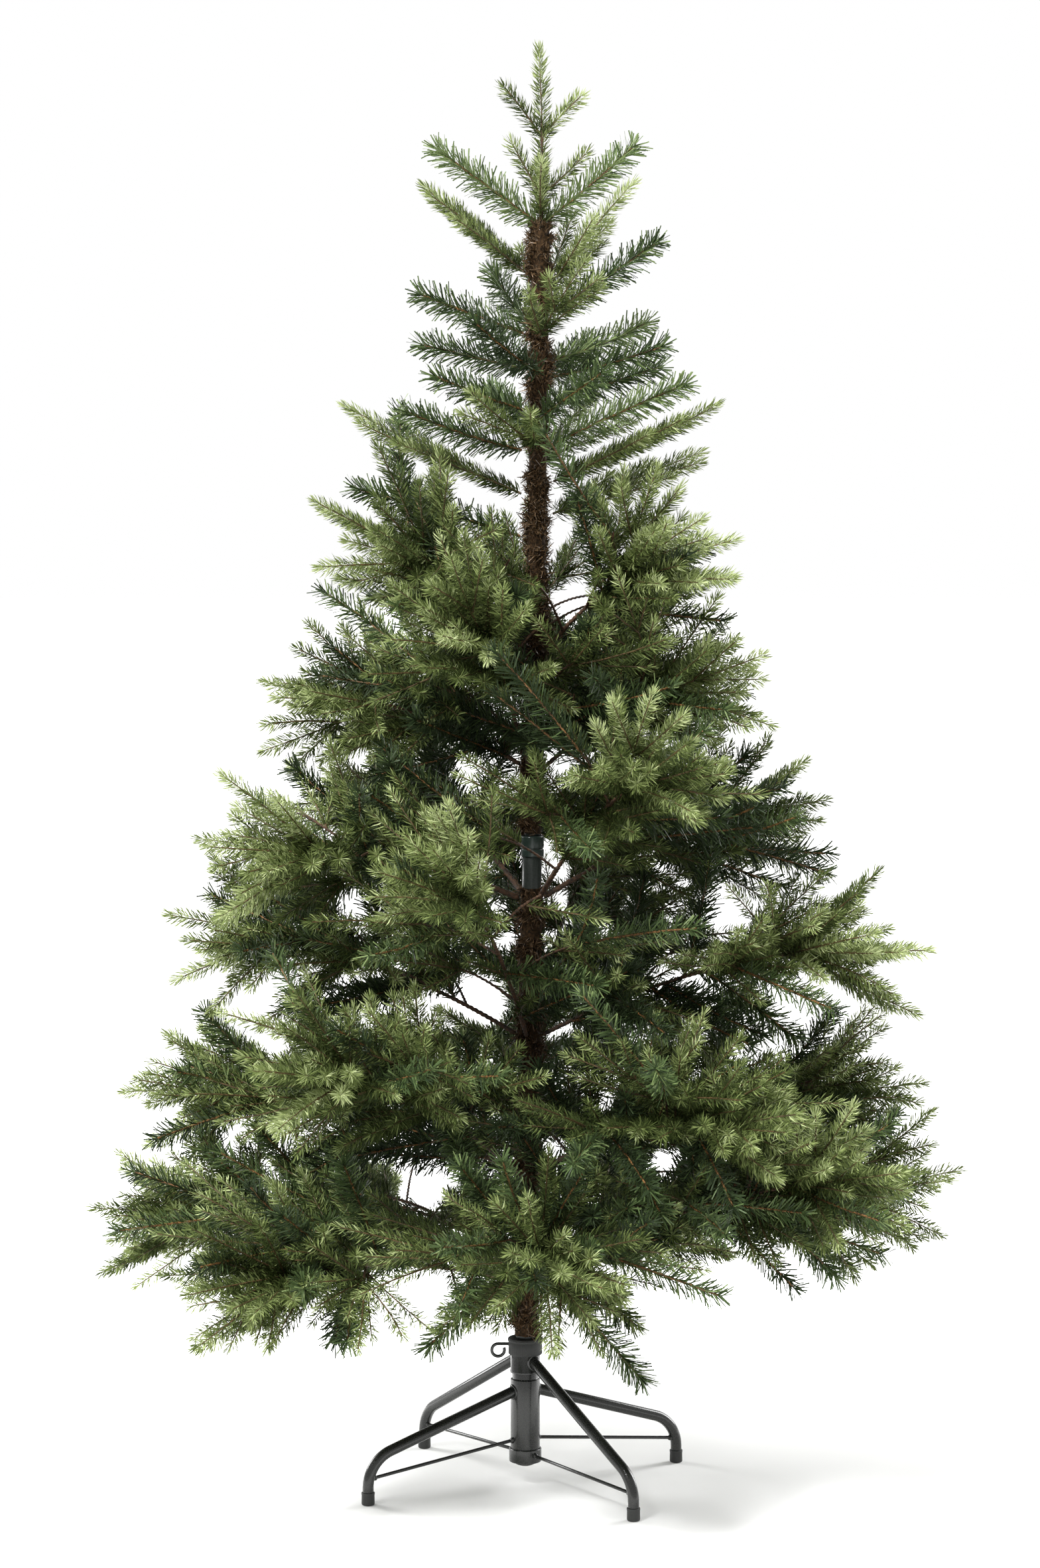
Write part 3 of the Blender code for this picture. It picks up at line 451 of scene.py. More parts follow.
SCREW_RADIUS, SCREW_HEIGHT, SCREW_SHANK, SCREW_EYE = 0.0021, 0.1795, 0.0345, 0.008
EYE_TURN = 292.0
screw = start_disc("clamp_screw_painted", SCREW_RADIUS, 16,
                   (-POLE_RADIUS - SLIP, 0.0, SCREW_HEIGHT), (0.0, math.pi / 2, 0.0))
draw_out(-(SCREW_SHANK - POLE_RADIUS - SLIP), 0.0, 0.0)
bpy.ops.mesh.spin(steps=28, angle=math.radians(EYE_TURN), axis=(0.0, 1.0, 0.0),
                  center=(-SCREW_SHANK, 0.0, SCREW_HEIGHT - SCREW_EYE))
end_edit()
fit(soften(screw, 0.0003), black_enamel, "black_enamel", "clamp_screw")


# ---- pole and foil
# The trunk is a painted steel pole wound with a garland of brown foil, cut into fine
# strips that stand out all round. It is bare where it enters the stand and the joint.
LEAN, LEAN_START = 0.0137, 0.19
WRAP_RADIUS, WRAP_BOTTOM, WRAP_TOP = 0.016, 0.205, 1.58
BARE_BOTTOM, JOINT_TOP = 0.76, 0.826
pole_paint = mottled("pole_paint", ((0.01, 0.014, 0.011), (0.02, 0.026, 0.021)),
                     500.0, (0.3, 0.45), relief=0.00003, coat=0.2)
brown_foil = mottled("brown_foil", ((0.018, 0.013, 0.007), (0.165, 0.098, 0.046)),
                     240.0, (0.28, 0.58), metallic=0.15, detail=5.0, shine=0.35)


def pole_centre(height):
    return Vector((LEAN * max(0.0, height - LEAN_START), 0.0, height))


def pole_length(name, radius, stops, sides):
    """A round bar that follows the pole's lean through the given heights."""
    made = start_disc(name, radius, sides, pole_centre(stops[0]))
    for low, high in zip(stops, stops[1:]):
        draw_out(*(pole_centre(high) - pole_centre(low)))
    end_edit()
    return made


# the upper length is thinner, and starts inside the lower one
POLE_TOP, UPPER_RADIUS, UPPER_START = 0.8, 0.0097, 0.78
lower_bar = pole_length("lower_bar", POLE_RADIUS, (TUBE_FLOOR + SLIP, LEAN_START, POLE_TOP), 32)
upper_bar = pole_length("upper_bar", UPPER_RADIUS, (UPPER_START, WRAP_TOP - 0.002), 32)
pole_bar = joined("pole", [lower_bar, upper_bar])
fit(soften(pole_bar, 0.0005), pole_paint, "brown_foil", "trunk")

foil_lumps = cloudy("foil_lumps", 0.008)
WINDINGS = ((WRAP_BOTTOM - 0.014, BARE_BOTTOM), (JOINT_TOP + 0.003, WRAP_TOP))
WINDING_STEP, WINDING_DEPTH, WINDING_LUMP = 0.006, 0.0014, 0.003
windings = []
for low, high in WINDINGS:
    count = round((high - low) / WINDING_STEP)
    stops = [low + (high - low) * index / count for index in range(count + 1)]
    bar_radius = POLE_RADIUS if low < POLE_TOP else UPPER_RADIUS
    windings.append(pole_length("winding", bar_radius + WINDING_DEPTH, stops, 20))
    lumpy(windings[-1], foil_lumps, WINDING_LUMP, 0.5)
foil_core = mottled("foil_core", ((0.01, 0.007, 0.004), (0.06, 0.034, 0.016)), 300.0,
                    (0.75, 0.95), detail=5.0, shine=0.1)
fit(joined("trunk_winding", windings), foil_core, "brown_foil", "trunk")


def unit(rows):
    return rows / np.maximum(np.linalg.norm(rows, axis=-1, keepdims=True), 1e-9)


def crossways(along):
    """Two unit directions square to each row of directions and to each other."""
    helper = np.where(np.abs(along[:, 2:3]) < 0.9, (0.0, 0.0, 1.0), (1.0, 0.0, 0.0))
    first = unit(np.cross(along, helper))
    return first, np.cross(along, first)


def sheet_mesh(name, points, faces):
    """One mesh from an array of points and an array of faces with equal corners."""
    mesh = bpy.data.meshes.new(name)
    mesh.vertices.add(len(points))
    mesh.vertices.foreach_set("co", np.asarray(points, np.float32).ravel())
    mesh.loops.add(faces.size)
    mesh.loops.foreach_set("vertex_index", np.asarray(faces, np.int32).ravel())
    mesh.polygons.add(len(faces))
    mesh.polygons.foreach_set("loop_start",
                              np.arange(0, faces.size, faces.shape[1], dtype=np.int32))
    mesh.update(calc_edges=True)
    mesh.validate()
    made = bpy.data.objects.new(name, mesh)
    bpy.context.scene.collection.objects.link(made)
    return made


def ribbons(base, middle, tip, across, width, end_width):
    """Strips of two quads each, through three points, for all rows at once."""
    half = across * (width * 0.5)
    last = across * (end_width * 0.5)
    rows = np.stack([base - half, base + half, middle - half, middle + half,
                     tip - last, tip + last], axis=1)
    first = np.arange(len(base))[:, None] * 6
    quads = np.array([[0, 1, 3, 2], [2, 3, 5, 4]])
    faces = (first[:, :, None] + quads[None]).reshape(-1, 4)
    return rows.reshape(-1, 3), faces


FOIL_STRIPS = 16000
FOIL_STRIP = (0.011, 0.023)
TOP_STRIPS = 500                # the last ones stand on the upper end
FOIL_CLUMPS = 420               # bunches that the strips stand in
foil_rng = np.random.default_rng(3)
low, high = np.array(WINDINGS).T
share = (high - low) / (high - low).sum()
part = foil_rng.choice(len(WINDINGS), FOIL_CLUMPS, p=share)
clump_height = low[part] + (high - low)[part] * foil_rng.random(FOIL_CLUMPS)
clump_turn = foil_rng.uniform(0.0, math.tau, FOIL_CLUMPS)
clump_size = foil_rng.uniform(0.55, 1.0, FOIL_CLUMPS)
clump_tilt = foil_rng.normal(0.0, 0.55, (FOIL_CLUMPS, 2))
clump = foil_rng.integers(0, FOIL_CLUMPS, FOIL_STRIPS)
height = clump_height[clump] + foil_rng.normal(0.0, 0.0035, FOIL_STRIPS)
height = np.clip(height, low[part][clump] + 0.001, high[part][clump] - 0.001)
turn = clump_turn[clump] + foil_rng.normal(0.0, 0.42, FOIL_STRIPS)
level = np.zeros(FOIL_STRIPS)
away = np.stack([np.cos(turn), np.sin(turn), level], axis=1)
sideways = np.stack([-np.sin(turn), np.cos(turn), level], axis=1)
upward = np.array((0.0, 0.0, 1.0))
height[-TOP_STRIPS:] = WRAP_TOP - 0.003
bar_radius = np.where(height < POLE_TOP, POLE_RADIUS, UPPER_RADIUS) + 0.0002
bar_radius[-TOP_STRIPS:] *= foil_rng.random(TOP_STRIPS) ** 0.5
lean = LEAN * np.maximum(0.0, height - LEAN_START)
base = np.stack([lean, level, height], axis=1) + away * bar_radius[:, None]
reach = (foil_rng.uniform(*FOIL_STRIP, FOIL_STRIPS) * clump_size[clump])[:, None]
lean = clump_tilt[clump] + foil_rng.normal(0.0, 0.6, (FOIL_STRIPS, 2))
heading = unit(away * 0.62 + sideways * lean[:, :1] + upward * lean[:, 1:])
heading[-TOP_STRIPS:] = unit(heading[-TOP_STRIPS:] * 0.8 + upward)
curl = unit(heading + foil_rng.normal(0.0, 0.55, (FOIL_STRIPS, 3)) - away * 0.15)
middle = base + heading * reach * 0.5
tip = middle + curl * reach * 0.5
across = unit(np.cross(heading, foil_rng.normal(0.0, 1.0, (FOIL_STRIPS, 3))))
points, faces = ribbons(base, middle, tip, across,
                        foil_rng.uniform(0.001, 0.0021, (FOIL_STRIPS, 1)), 0.0007)
fit(sheet_mesh("trunk_foil_strips", points, faces), brown_foil, "brown_foil", "trunk")


# ---- joint collar
# A dark green plastic collar with one groove, where the upper length of the pole plugs
# into the lower one.
JOINT_BOTTOM, JOINT_RADIUS = 0.8, 0.0147
green_plastic = mottled("green_plastic", ((0.01, 0.02, 0.015), (0.016, 0.03, 0.023)),
                        700.0, (0.3, 0.42), relief=0.00004, coat=0.3)
groove = JOINT_BOTTOM + 0.0085
collar = lathe("joint_collar_moulded", (
    (JOINT_RADIUS - 0.0006, JOINT_BOTTOM), (JOINT_RADIUS, JOINT_BOTTOM + 0.0006),
    (JOINT_RADIUS, groove), (JOINT_RADIUS - 0.0011, groove + 0.0005),
    (JOINT_RADIUS - 0.0011, groove + 0.0018), (JOINT_RADIUS, groove + 0.0023),
    (JOINT_RADIUS, JOINT_TOP - 0.0012), (JOINT_RADIUS - 0.0012, JOINT_TOP),
    (POLE_RADIUS + 0.0004, JOINT_TOP), (POLE_RADIUS + 0.0004, JOINT_BOTTOM + 0.001)))
soften(collar, 0.0003)
collar.data.transform(Matrix.Translation((pole_centre(JOINT_BOTTOM + 0.013).x, 0.0, 0.0)))
fit(collar, green_plastic, "green_plastic", "joint_collar")


# ---- how the crown grows
# Six tiers of hinged wire boughs round the pole, each with sprays in ranks, then short
# sprays straight from the pole, and a leader. The rule is the same as the solids', and
# goes on to a second, finer set of sprays on every bough.
GAP = 0.0003
# name, hub height, boughs, first azimuth, reach and tip height on the right and on the
# left, bare bough length, sprays on a bough
TIERS = (
    ("low", 0.262, 7, -87, 0.581, 0.385, 0.559, 0.304, 0.15, 13),
    ("second", 0.4, 5, 18, 0.535, 0.5, 0.54, 0.505, 0.0, 15),
    ("third", 0.575, 4, -12, 0.515, 0.705, 0.47, 0.715, 0.0, 16),
    ("fourth", 0.748, 4, 28, 0.43, 0.85, 0.455, 0.82, 0.07, 13),
    ("fifth", 0.915, 4, -18, 0.325, 1.02, 0.345, 1.01, 0.0, 12),
    ("sixth", 1.06, 3, 86, 0.31, 1.155, 0.3, 1.125, 0.0, 12),
)
CROWN_BOTTOM = 0.262
FRONT_LIFT, FRONT_DRAW, TIP_STAGGER, TIP_SPRAY_SHARE = 0.045, 0.03, 0.025, 0.92
# more sprays of a bough, which hang below the rest or fill what the ranks leave bare at
# the sides: share of its stem, kind, azimuth, fall and length
EXTRAS = {
    "low_1": ((0.04, "brush", -25, 43, 0.2), (0.06, "brush", 205, 34, 0.17),
              (0.24, "brush", 186, 14, 0.165), (0.7, "sprig", 205, 30, 0.15),
              (0.7, "sprig", 335, 30, 0.15)),
    "low_2": ((0.75, "brush", 0, 48, 0.14), (0.96, "sprig", -12, 56, 0.13),
              (0.9, "sprig", 8, 26, 0.16)),
    "low_3": ((0.8, "sprig", 4, 22, 0.165), (0.62, "sprig", 6, -36, 0.15)),
    "low_6": ((0.8, "sprig", 184, 20, 0.165), (0.66, "sprig", 165, -40, 0.15)),
    "low_7": ((0.5, "brush", 262, 36, 0.12), (0.85, "sprig", 200, 34, 0.15)),
    "second_3": ((0.6, "sprig", 178, -46, 0.14), (0.84, "sprig", 152, -34, 0.145)),
    "third_1": ((0.35, "sprig", 2, 42, 0.14), (0.6, "brush", -8, 36, 0.14)),
    "third_3": ((0.68, "sprig", 175, 38, 0.15), (0.95, "sprig", 200, 42, 0.13)),
}
EXTRA_BOTTOM = 0.14
BOUGH_ROOT_RADIUS, BOUGH_TIP_RADIUS, STEM_TIP_RADIUS = 0.0048, 0.0036, 0.0024
STEM_ARCH, PATH_STEPS = 0.1, 40
BRUSH_LENGTH, SPRIG_LENGTH = 0.175, 0.155
SPRAY_START, WHORL_START, BRUSH_SHARE, ODD_SHARE = 0.12, 0.88, 0.55, 0.2
RANKS = ((-56, 4), (56, -4), (-24, 46), (50, 30), (-50, -26), (22, -42), (-6, 62))
RANK_TURN, RANK_TILT, WHORL_TURN, ROLL = 8, 7, 6, 48
SPREAD_TAPER, TILT_TAPER, SIZE_TAPER = (1.1, 0.35), (1.05, 0.25), (1.06, 0.15)
RANK_SIZES, WHORL_SIZES = (0.9, 1.08), (0.92, 1.06)
TIP_WHORL = ((-36, -4), (36, 4), (6, 33), (-6, -31), (0, 0))
# sprays beside the pole: azimuth, then each one's height, turn, kind, rise and length
TOP_MASSES = (
    (0, ((1.52, -12, "sprig", 50, 0.15), (1.478, 12, "brush", 34, 0.156),
        (1.418, 28, "brush", 20, 0.14), (1.398, -12, "brush", 15, 0.142),
        (1.368, 16, "brush", 17, 0.145), (1.315, -18, "brush", 23, 0.185),
        (1.268, -6, "sprig", 25, 0.225), (1.228, 26, "sprig", 20, 0.225))),
    (90, ((1.491, -22, "sprig", 45, 0.16), (1.445, 26, "brush", 33, 0.165),
        (1.392, -26, "brush", 20, 0.16), (1.338, 24, "brush", 17, 0.165),
        (1.288, -24, "sprig", 26, 0.205), (1.24, 24, "brush", 22, 0.195))),
    (180, ((1.527, -10, "sprig", 40, 0.165), (1.451, 12, "brush", 20, 0.14),
        (1.408, -14, "brush", 13, 0.134), (1.357, 24, "brush", 19, 0.125),
        (1.307, 22, "brush", 17, 0.16), (1.253, -18, "sprig", 25, 0.258),
        (1.2, -4, "brush", 16, 0.215))),
    (270, ((1.446, 32, "sprig", 40, 0.14), (1.402, -36, "brush", 24, 0.145),
        (1.345, 34, "brush", 22, 0.15), (1.312, -38, "sprig", 26, 0.15))),
)
LEADER_STEM, LEADER_TIP = 0.13, 1.8
# sprays of the leader: share of its stem, azimuth, rise, kind, length
LEADER_SPRAYS = (
    (0.03, 0, 40, "brush", 0.152), (0.03, 180, 36, "brush", 0.16),
    (0.12, 90, 44, "finger", 0.11), (0.12, 270, 44, "finger", 0.09),
    (0.31, 10, 43, "finger", 0.078), (0.31, 190, 60, "finger", 0.075),
    (0.86, 10, 46, "finger", 0.072), (0.86, 190, 52, "finger", 0.078))
SEED = 11
# the finer set: sideways spread and tilt of successive sprays, and how many on a tier
FINE_RANKS = ((-40, -18), (44, 14), (-16, 60), (66, -8), (-66, 10), (18, -54), (-30, 36),
              (34, 50), (-36, -42), (10, -22), (54, 38), (-10, 28), (38, -34), (-58, 30))
FINE_SPRAYS = {"low": 12, "second": 10, "third": 9, "fourth": 8, "fifth": 7, "sixth": 6}
FINE_START, FINE_SIZES, FINE_BRUSHES = 0.06, (0.8, 1.05), 0.55
# side twigs of a stem: share of the stem, sideways turn, tilt and length of each, and
# the sprays on a twig: share of it, turn and tilt
TWIGS = ((0.2, 58, 8, 0.125), (0.34, -54, 12, 0.135), (0.5, 48, -4, 0.13),
         (0.64, -44, 4, 0.12), (0.78, 36, 22, 0.09))
TWIG_SPRAYS = ((0.5, 40, 14), (0.72, -38, -12), (0.9, 30, 24), (1.0, -6, -8))
TWIG_ARCH, TWIG_BRUSHES, TWIG_SIZES = 0.06, 0.45, (0.82, 1.05)
TWIG_STEPS, TWIG_LENGTHS = 8, (0.85, 1.1)
# the crown's outline, which the finer sprays keep to: height and radius
OUTLINE = ((0.1, 0.3), (0.26, 0.58), (0.45, 0.56), (0.52, 0.53), (0.65, 0.49), (0.74, 0.45),
           (0.85, 0.39), (0.94, 0.335), (1.0, 0.315), (1.1, 0.285), (1.2, 0.255),
           (1.25, 0.235), (1.37, 0.21), (1.44, 0.165), (1.56, 0.155), (1.68, 0.12), (1.8, 0.02))
OUTLINE_HEIGHTS, OUTLINE_RADII = zip(*OUTLINE)
OUTLINE_SHARE = 0.95            # of that radius
TRUNK_ROOM = 0.02
# gaps that stay open from the front: place across and up on the pole's plane, radius
SKY_GAPS = (
    (-0.06, 0.622, 0.027), (-0.134, 0.379, 0.023), (0.053, 1.117, 0.018), (-0.017, 1.27, 0.01),
    (-0.06, 1.248, 0.008), (0.033, 1.18, 0.006), (-0.217, 0.745, 0.008), (-0.042, 0.74, 0.005),
    (0.045, 0.776, 0.008), (0.246, 0.725, 0.009), (0.1, 0.493, 0.004), (0.178, 0.414, 0.012),
    (-0.31, 0.56, 0.005), (0.042, 0.434, 0.005), (-0.115, 0.262, 0.01))
# places where nothing hides the pole or its boughs from the front
POLE_VIEWS = (
    (0.015, 1.264, 0.014), (0.014, 1.232, 0.014), (0.014, 1.2, 0.014), (0.014, 1.168, 0.012),
    (0.012, 1.06, 0.008), (0.009, 0.842, 0.008), (0.008, 0.814, 0.012), (0.008, 0.786, 0.008),
    (-0.038, 0.742, 0.01), (0.058, 0.75, 0.01), (0.006, 0.712, 0.014), (0.004, 0.68, 0.012),
    (0.004, 0.5, 0.004), (0.0, 0.222, 0.006), (0.0, 0.196, 0.01))
POLE_NEAR = -0.012              # only sprays nearer than this, in y
GAP_ROOM = {"brush": 0.014, "finger": 0.009, "sprig": 0.009}
# where a spray counts as standing along its bough, which makes its tone: sprays further out and at
# the top paler as painted light, those inside the crown darker as painted shade
EXTRA_LIGHT_PLACE, TOP_LIGHT_PLACE, LEADER_LIGHT_PLACE, TWIG_LIGHT_PLACE = 0.8, 0.95, 0.9, (0.45, 0.5)
UP = Vector((0.0, 0.0, 1.0))


def polar(radius, azimuth, height):
    angle = math.radians(azimuth)
    return Vector((radius * math.cos(angle), radius * math.sin(angle), height))


def outward(azimuth, rise):
    angle = math.radians(rise)
    return polar(math.cos(angle), azimuth, math.sin(angle))


def limb_path(hub, azimuth, reach, height, radius):
    """Points from the wrapped pole out to the end of a stem, rising then levelling."""
    first = pole_centre(hub) + polar(WRAP_RADIUS + GAP, azimuth, 0.0)
    last = polar(reach, azimuth, height)
    arch = UP * (STEM_ARCH * (last - first).length)
    rise = (first.lerp(last, 0.5) + arch - first).normalized().z
    first += polar(radius * max(0.0, rise), azimuth, 0.0)
    middle = first.lerp(last, 0.5) + arch
    path = []
    for step in range(PATH_STEPS + 1):
        share = step / PATH_STEPS
        rest = 1.0 - share
        path.append(first * rest * rest + middle * 2.0 * rest * share + last * share * share)
    return path


def cut_path(path, distance):
    run = 0.0
    for index in range(1, len(path)):
        run += (path[index] - path[index - 1]).length
        if run >= distance:
            return path[:index + 1], path[index:]
    return path, path[-1:]


def spray(kind, root, axis, side, length, place, bottom=CROWN_BOTTOM):
    """One spray: kind, root, axis, sideways direction, length, and its share of the bough."""
    axis = axis.normalized()
    lowest = (bottom - root.z) / length
    if axis.z < lowest:
        axis.z = lowest
        axis.normalize()
    normal = axis.cross(side).normalized()
    return {"kind": kind, "root": root, "axis": axis, "side": normal.cross(axis),
            "length": length, "place": place, "main": True}


def aimed(kind, root, azimuth, rise, length, place, bottom=CROWN_BOTTOM):
    """One spray that points at an azimuth and rises by an angle, its hands level."""
    axis = outward(azimuth, rise)
    return spray(kind, root, axis, axis.cross(UP), length, place, bottom)


def turned_axis(stem, share, spread, tilt, roll):
    """Root, axis and sideways direction of a spray, from three angles in degrees."""
    spot = min(len(stem) - 2, int(share * (len(stem) - 1)))
    along = (stem[spot + 1] - stem[spot]).normalized()
    sideways = along.cross(UP).normalized()
    upward = sideways.cross(along)
    turn, lift = math.radians(spread), math.radians(tilt)
    axis = along * math.cos(turn) + sideways * math.sin(turn)
    axis = axis * math.cos(lift) + upward * math.sin(lift)
    flat = axis.cross(upward).normalized()
    return stem[spot], axis, Matrix.Rotation(math.radians(roll), 3, axis) @ flat


def falling(taper, share):
    return taper[0] - taper[1] * share


def loosened(turn, tilt, chance):
    return (turn + chance.uniform(-RANK_TURN, RANK_TURN),
            tilt + chance.uniform(-RANK_TILT, RANK_TILT))


def fanned(rank, share, chance):
    """Sideways spread and tilt of a spray in a rank, less towards the tip of the stem."""
    return loosened(rank[0] * falling(SPREAD_TAPER, share),
                    rank[1] * falling(TILT_TAPER, share), chance)


def cut_length(kind, sizes, chance, taper=1.0):
    length = BRUSH_LENGTH if kind == "brush" else SPRIG_LENGTH
    return length * (chance.uniform(*sizes) * taper)


def set_on(kind, stem, share, spread, tilt, length, place, chance):
    """One spray on a stem, rolled about its axis by chance."""
    roll = chance.uniform(-ROLL, ROLL)
    return spray(kind, *turned_axis(stem, share, spread, tilt, roll), length, place)


def stem_sprays(stem, count, chance):
    """Sprays round a stem in ranks, brushes inside and sprigs outside, a whorl at the tip."""
    made = []
    ranked = count - len(TIP_WHORL)
    for index in range(ranked):
        share = SPRAY_START + (WHORL_START - SPRAY_START) * index / ranked
        spread, tilt = fanned(RANKS[index % len(RANKS)], share, chance)
        odd = chance.random() < ODD_SHARE
        kind = "brush" if (share < BRUSH_SHARE) != odd else "sprig"
        length = cut_length(kind, RANK_SIZES, chance, falling(SIZE_TAPER, share))
        made.append(set_on(kind, stem, share, spread, tilt, length, share, chance))
    for index, (turn, lift) in enumerate(TIP_WHORL):
        share = WHORL_START + (1.0 - WHORL_START) * index / (len(TIP_WHORL) - 1)
        spread = turn + chance.uniform(-WHORL_TURN, WHORL_TURN)
        tilt = lift + chance.uniform(-WHORL_TURN, WHORL_TURN)
        length = cut_length("sprig", WHORL_SIZES, chance)
        made.append(set_on("sprig", stem, share, spread, tilt, length, share, chance))
    return made


def finer_sprays(stem, count, chance):
    """The second set: shorter sprays in closer ranks, brushes and sprigs mixed."""
    made = []
    for index in range(count):
        share = FINE_START + (1.0 - FINE_START) * (index + chance.random()) / count
        spread, tilt = fanned(FINE_RANKS[(index + count) % len(FINE_RANKS)], share, chance)
        kind = "brush" if chance.random() < FINE_BRUSHES else "sprig"
        length = cut_length(kind, FINE_SIZES, chance)
        made.append(set_on(kind, stem, share, spread, tilt, length, share, chance))
    return made


def side_twigs(stem, chance):
    """Thin side twigs of a stem, each with sprays round its outer half."""
    made, twigs = [], []
    for share, turn, tilt, size in TWIGS:
        spread, lift = loosened(turn, tilt, chance)
        root, axis, _side = turned_axis(stem, share, spread, lift, 0.0)
        last = root + axis * (size * chance.uniform(*TWIG_LENGTHS))
        steps = [step / TWIG_STEPS for step in range(TWIG_STEPS + 1)]
        twig = [root + (last - root) * step + UP * (TWIG_ARCH * size * math.sin(math.pi * step))
                for step in steps]
        twigs.append(twig)
        place = TWIG_LIGHT_PLACE[0] + TWIG_LIGHT_PLACE[1] * share
        for along, swing, rise in TWIG_SPRAYS:
            kind = "brush" if chance.random() < TWIG_BRUSHES else "sprig"
            length = cut_length(kind, TWIG_SIZES, chance)
            swing, rise = loosened(swing, rise, chance)
            made.append(set_on(kind, twig, along, swing, rise, length, place, chance))
    return made, twigs


def inside_outline(item):
    """True where a spray ends within the crown's outline."""
    end = item["root"] + item["axis"] * item["length"]
    radius = np.interp(end.z, OUTLINE_HEIGHTS, OUTLINE_RADII)
    return end.to_2d().length < OUTLINE_SHARE * radius


def opens_sky(first, last, room):
    """True where a finger stays out of the crown's gaps and the views of the pole."""
    eye = Vector(CAMERA_PLACE)
    for share in (0.15, 0.4, 0.6, 0.8, 1.0):
        spot = first.lerp(last, share)
        flat = eye.lerp(spot, eye.y / (eye.y - spot.y))
        views = POLE_VIEWS if spot.y < POLE_NEAR else ()
        for x, z, radius in SKY_GAPS + views:
            if math.hypot(flat.x - x, flat.z - z) < radius + room:
                return False
    return True


def clear_of_trunk(item):
    """True where a spray doesn't run back into the pole."""
    for share in (0.3, 0.5, 0.7, 0.9):
        spot = item["root"] + item["axis"] * (item["length"] * share)
        if spot.z < WRAP_TOP and (spot - pole_centre(spot.z)).length < TRUNK_ROOM:
            return False
    return True


chance = random.Random(SEED)
fine_chance = random.Random(SEED + 5)
boughs, stems, twigs, sprays = [], [], [], []
for name, hub, count, first, reach_r, tip_r, reach_l, tip_l, bare, number in TIERS:
    for index in range(count):
        azimuth = first + 360.0 * index / count
        right = 0.5 + 0.5 * math.cos(math.radians(azimuth))
        reach = reach_l + (reach_r - reach_l) * right
        height = tip_l + (tip_r - tip_l) * right
        height += TIP_STAGGER * (1.0 if index % 2 else -1.0)
        forward = max(0.0, -math.sin(math.radians(azimuth)))
        height += FRONT_LIFT * forward
        reach -= FRONT_DRAW * forward
        radius = BOUGH_ROOT_RADIUS if bare else STEM_TIP_RADIUS
        path = limb_path(hub, azimuth, reach - TIP_SPRAY_SHARE * SPRIG_LENGTH, height, radius)
        bough, stem = (cut_path(path, bare) if bare else (None, path))
        if bough:
            boughs.append((f"bough_{name}_{index + 1}", bough))
        stems.append(stem)
        sprays += stem_sprays(stem, number, chance)
        for share, kind, turn, fall, size in EXTRAS.get(f"{name}_{index + 1}", ()):
            root = stem[int(share * (len(stem) - 1))]
            sprays.append(aimed(kind, root, turn, -fall, size, EXTRA_LIGHT_PLACE, EXTRA_BOTTOM))
        grown, side = side_twigs(path, fine_chance)
        grown += finer_sprays(path, FINE_SPRAYS[name], fine_chance)
        sprays += [item | {"main": False} for item in grown if inside_outline(item)]
        twigs += side
beside = WRAP_RADIUS + BOUGH_TIP_RADIUS + GAP
for azimuth, rows in TOP_MASSES:
    for height, turn, kind, rise, size in rows:
        root = pole_centre(height) + polar(beside, azimuth, 0.0)
        sprays.append(aimed(kind, root, azimuth + turn, rise, size, TOP_LIGHT_PLACE))
leader_foot, leader_top = pole_centre(WRAP_TOP + GAP), pole_centre(WRAP_TOP + LEADER_STEM)
leader_axis = Vector((leader_top.x - 0.004, 0.0, LEADER_TIP)) - leader_foot
sprays.append(spray("finger", leader_foot, leader_axis, Vector((1.0, 0.0, 0.0)),
                    leader_axis.length, 1.0))
for share, azimuth, rise, kind, size in LEADER_SPRAYS:
    root = leader_foot.lerp(leader_top, share)
    sprays.append(aimed(kind, root, azimuth, rise, size, LEADER_LIGHT_PLACE))
stems.append([leader_foot, leader_foot.lerp(leader_top, 0.5), leader_top])
sprays = [item for item in sprays if clear_of_trunk(item)]
mass_nodes = sorted(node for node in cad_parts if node.startswith("foliage_"))


# ---- boughs and stems
# Steel wires that hinge on the pole, wound with brown paper tape and a thin garland.
# Each bough goes on as the stem of its sprays, thinner towards the tip.
bough_tape = mottled("bough_tape", ((0.02, 0.014, 0.009), (0.12, 0.058, 0.028)),
                     220.0, (0.5, 0.75), relief=0.0003, detail=4.0)
TAPE_PITCH, TAPE_STEP, TAPE_RIDGE = 0.007, 0.0022, 0.0005
ROOT_TRIM, TIP_TRIM = 0.0012, 0.0006        # what the rods leave for the tape's ridge
TWIG_RADIUS, TWIG_TIP_RADIUS = 0.0019, 0.0013


def round_bars(line, along, radius, sides, rings):
    """Walls of round bars, each along so many points of the line, with a radius to each."""
    first, second = crossways(along)
    angle = np.arange(sides) * math.tau / sides
    rows = (line[:, None] + radius[..., None] * (first[:, None] * np.cos(angle)[None, :, None]
                                                 + second[:, None] * np.sin(angle)[None, :, None]))
    ring = np.arange(sides)
    quads = np.stack([ring, (ring + 1) % sides, (ring + 1) % sides + sides, ring + sides], axis=1)
    faces = np.arange(rings - 1)[:, None, None] * sides + quads[None]
    faces = np.arange(len(line) // rings)[:, None, None, None] * (rings * sides) + faces[None]
    return rows.reshape(-1, 3), faces.reshape(-1, 4)


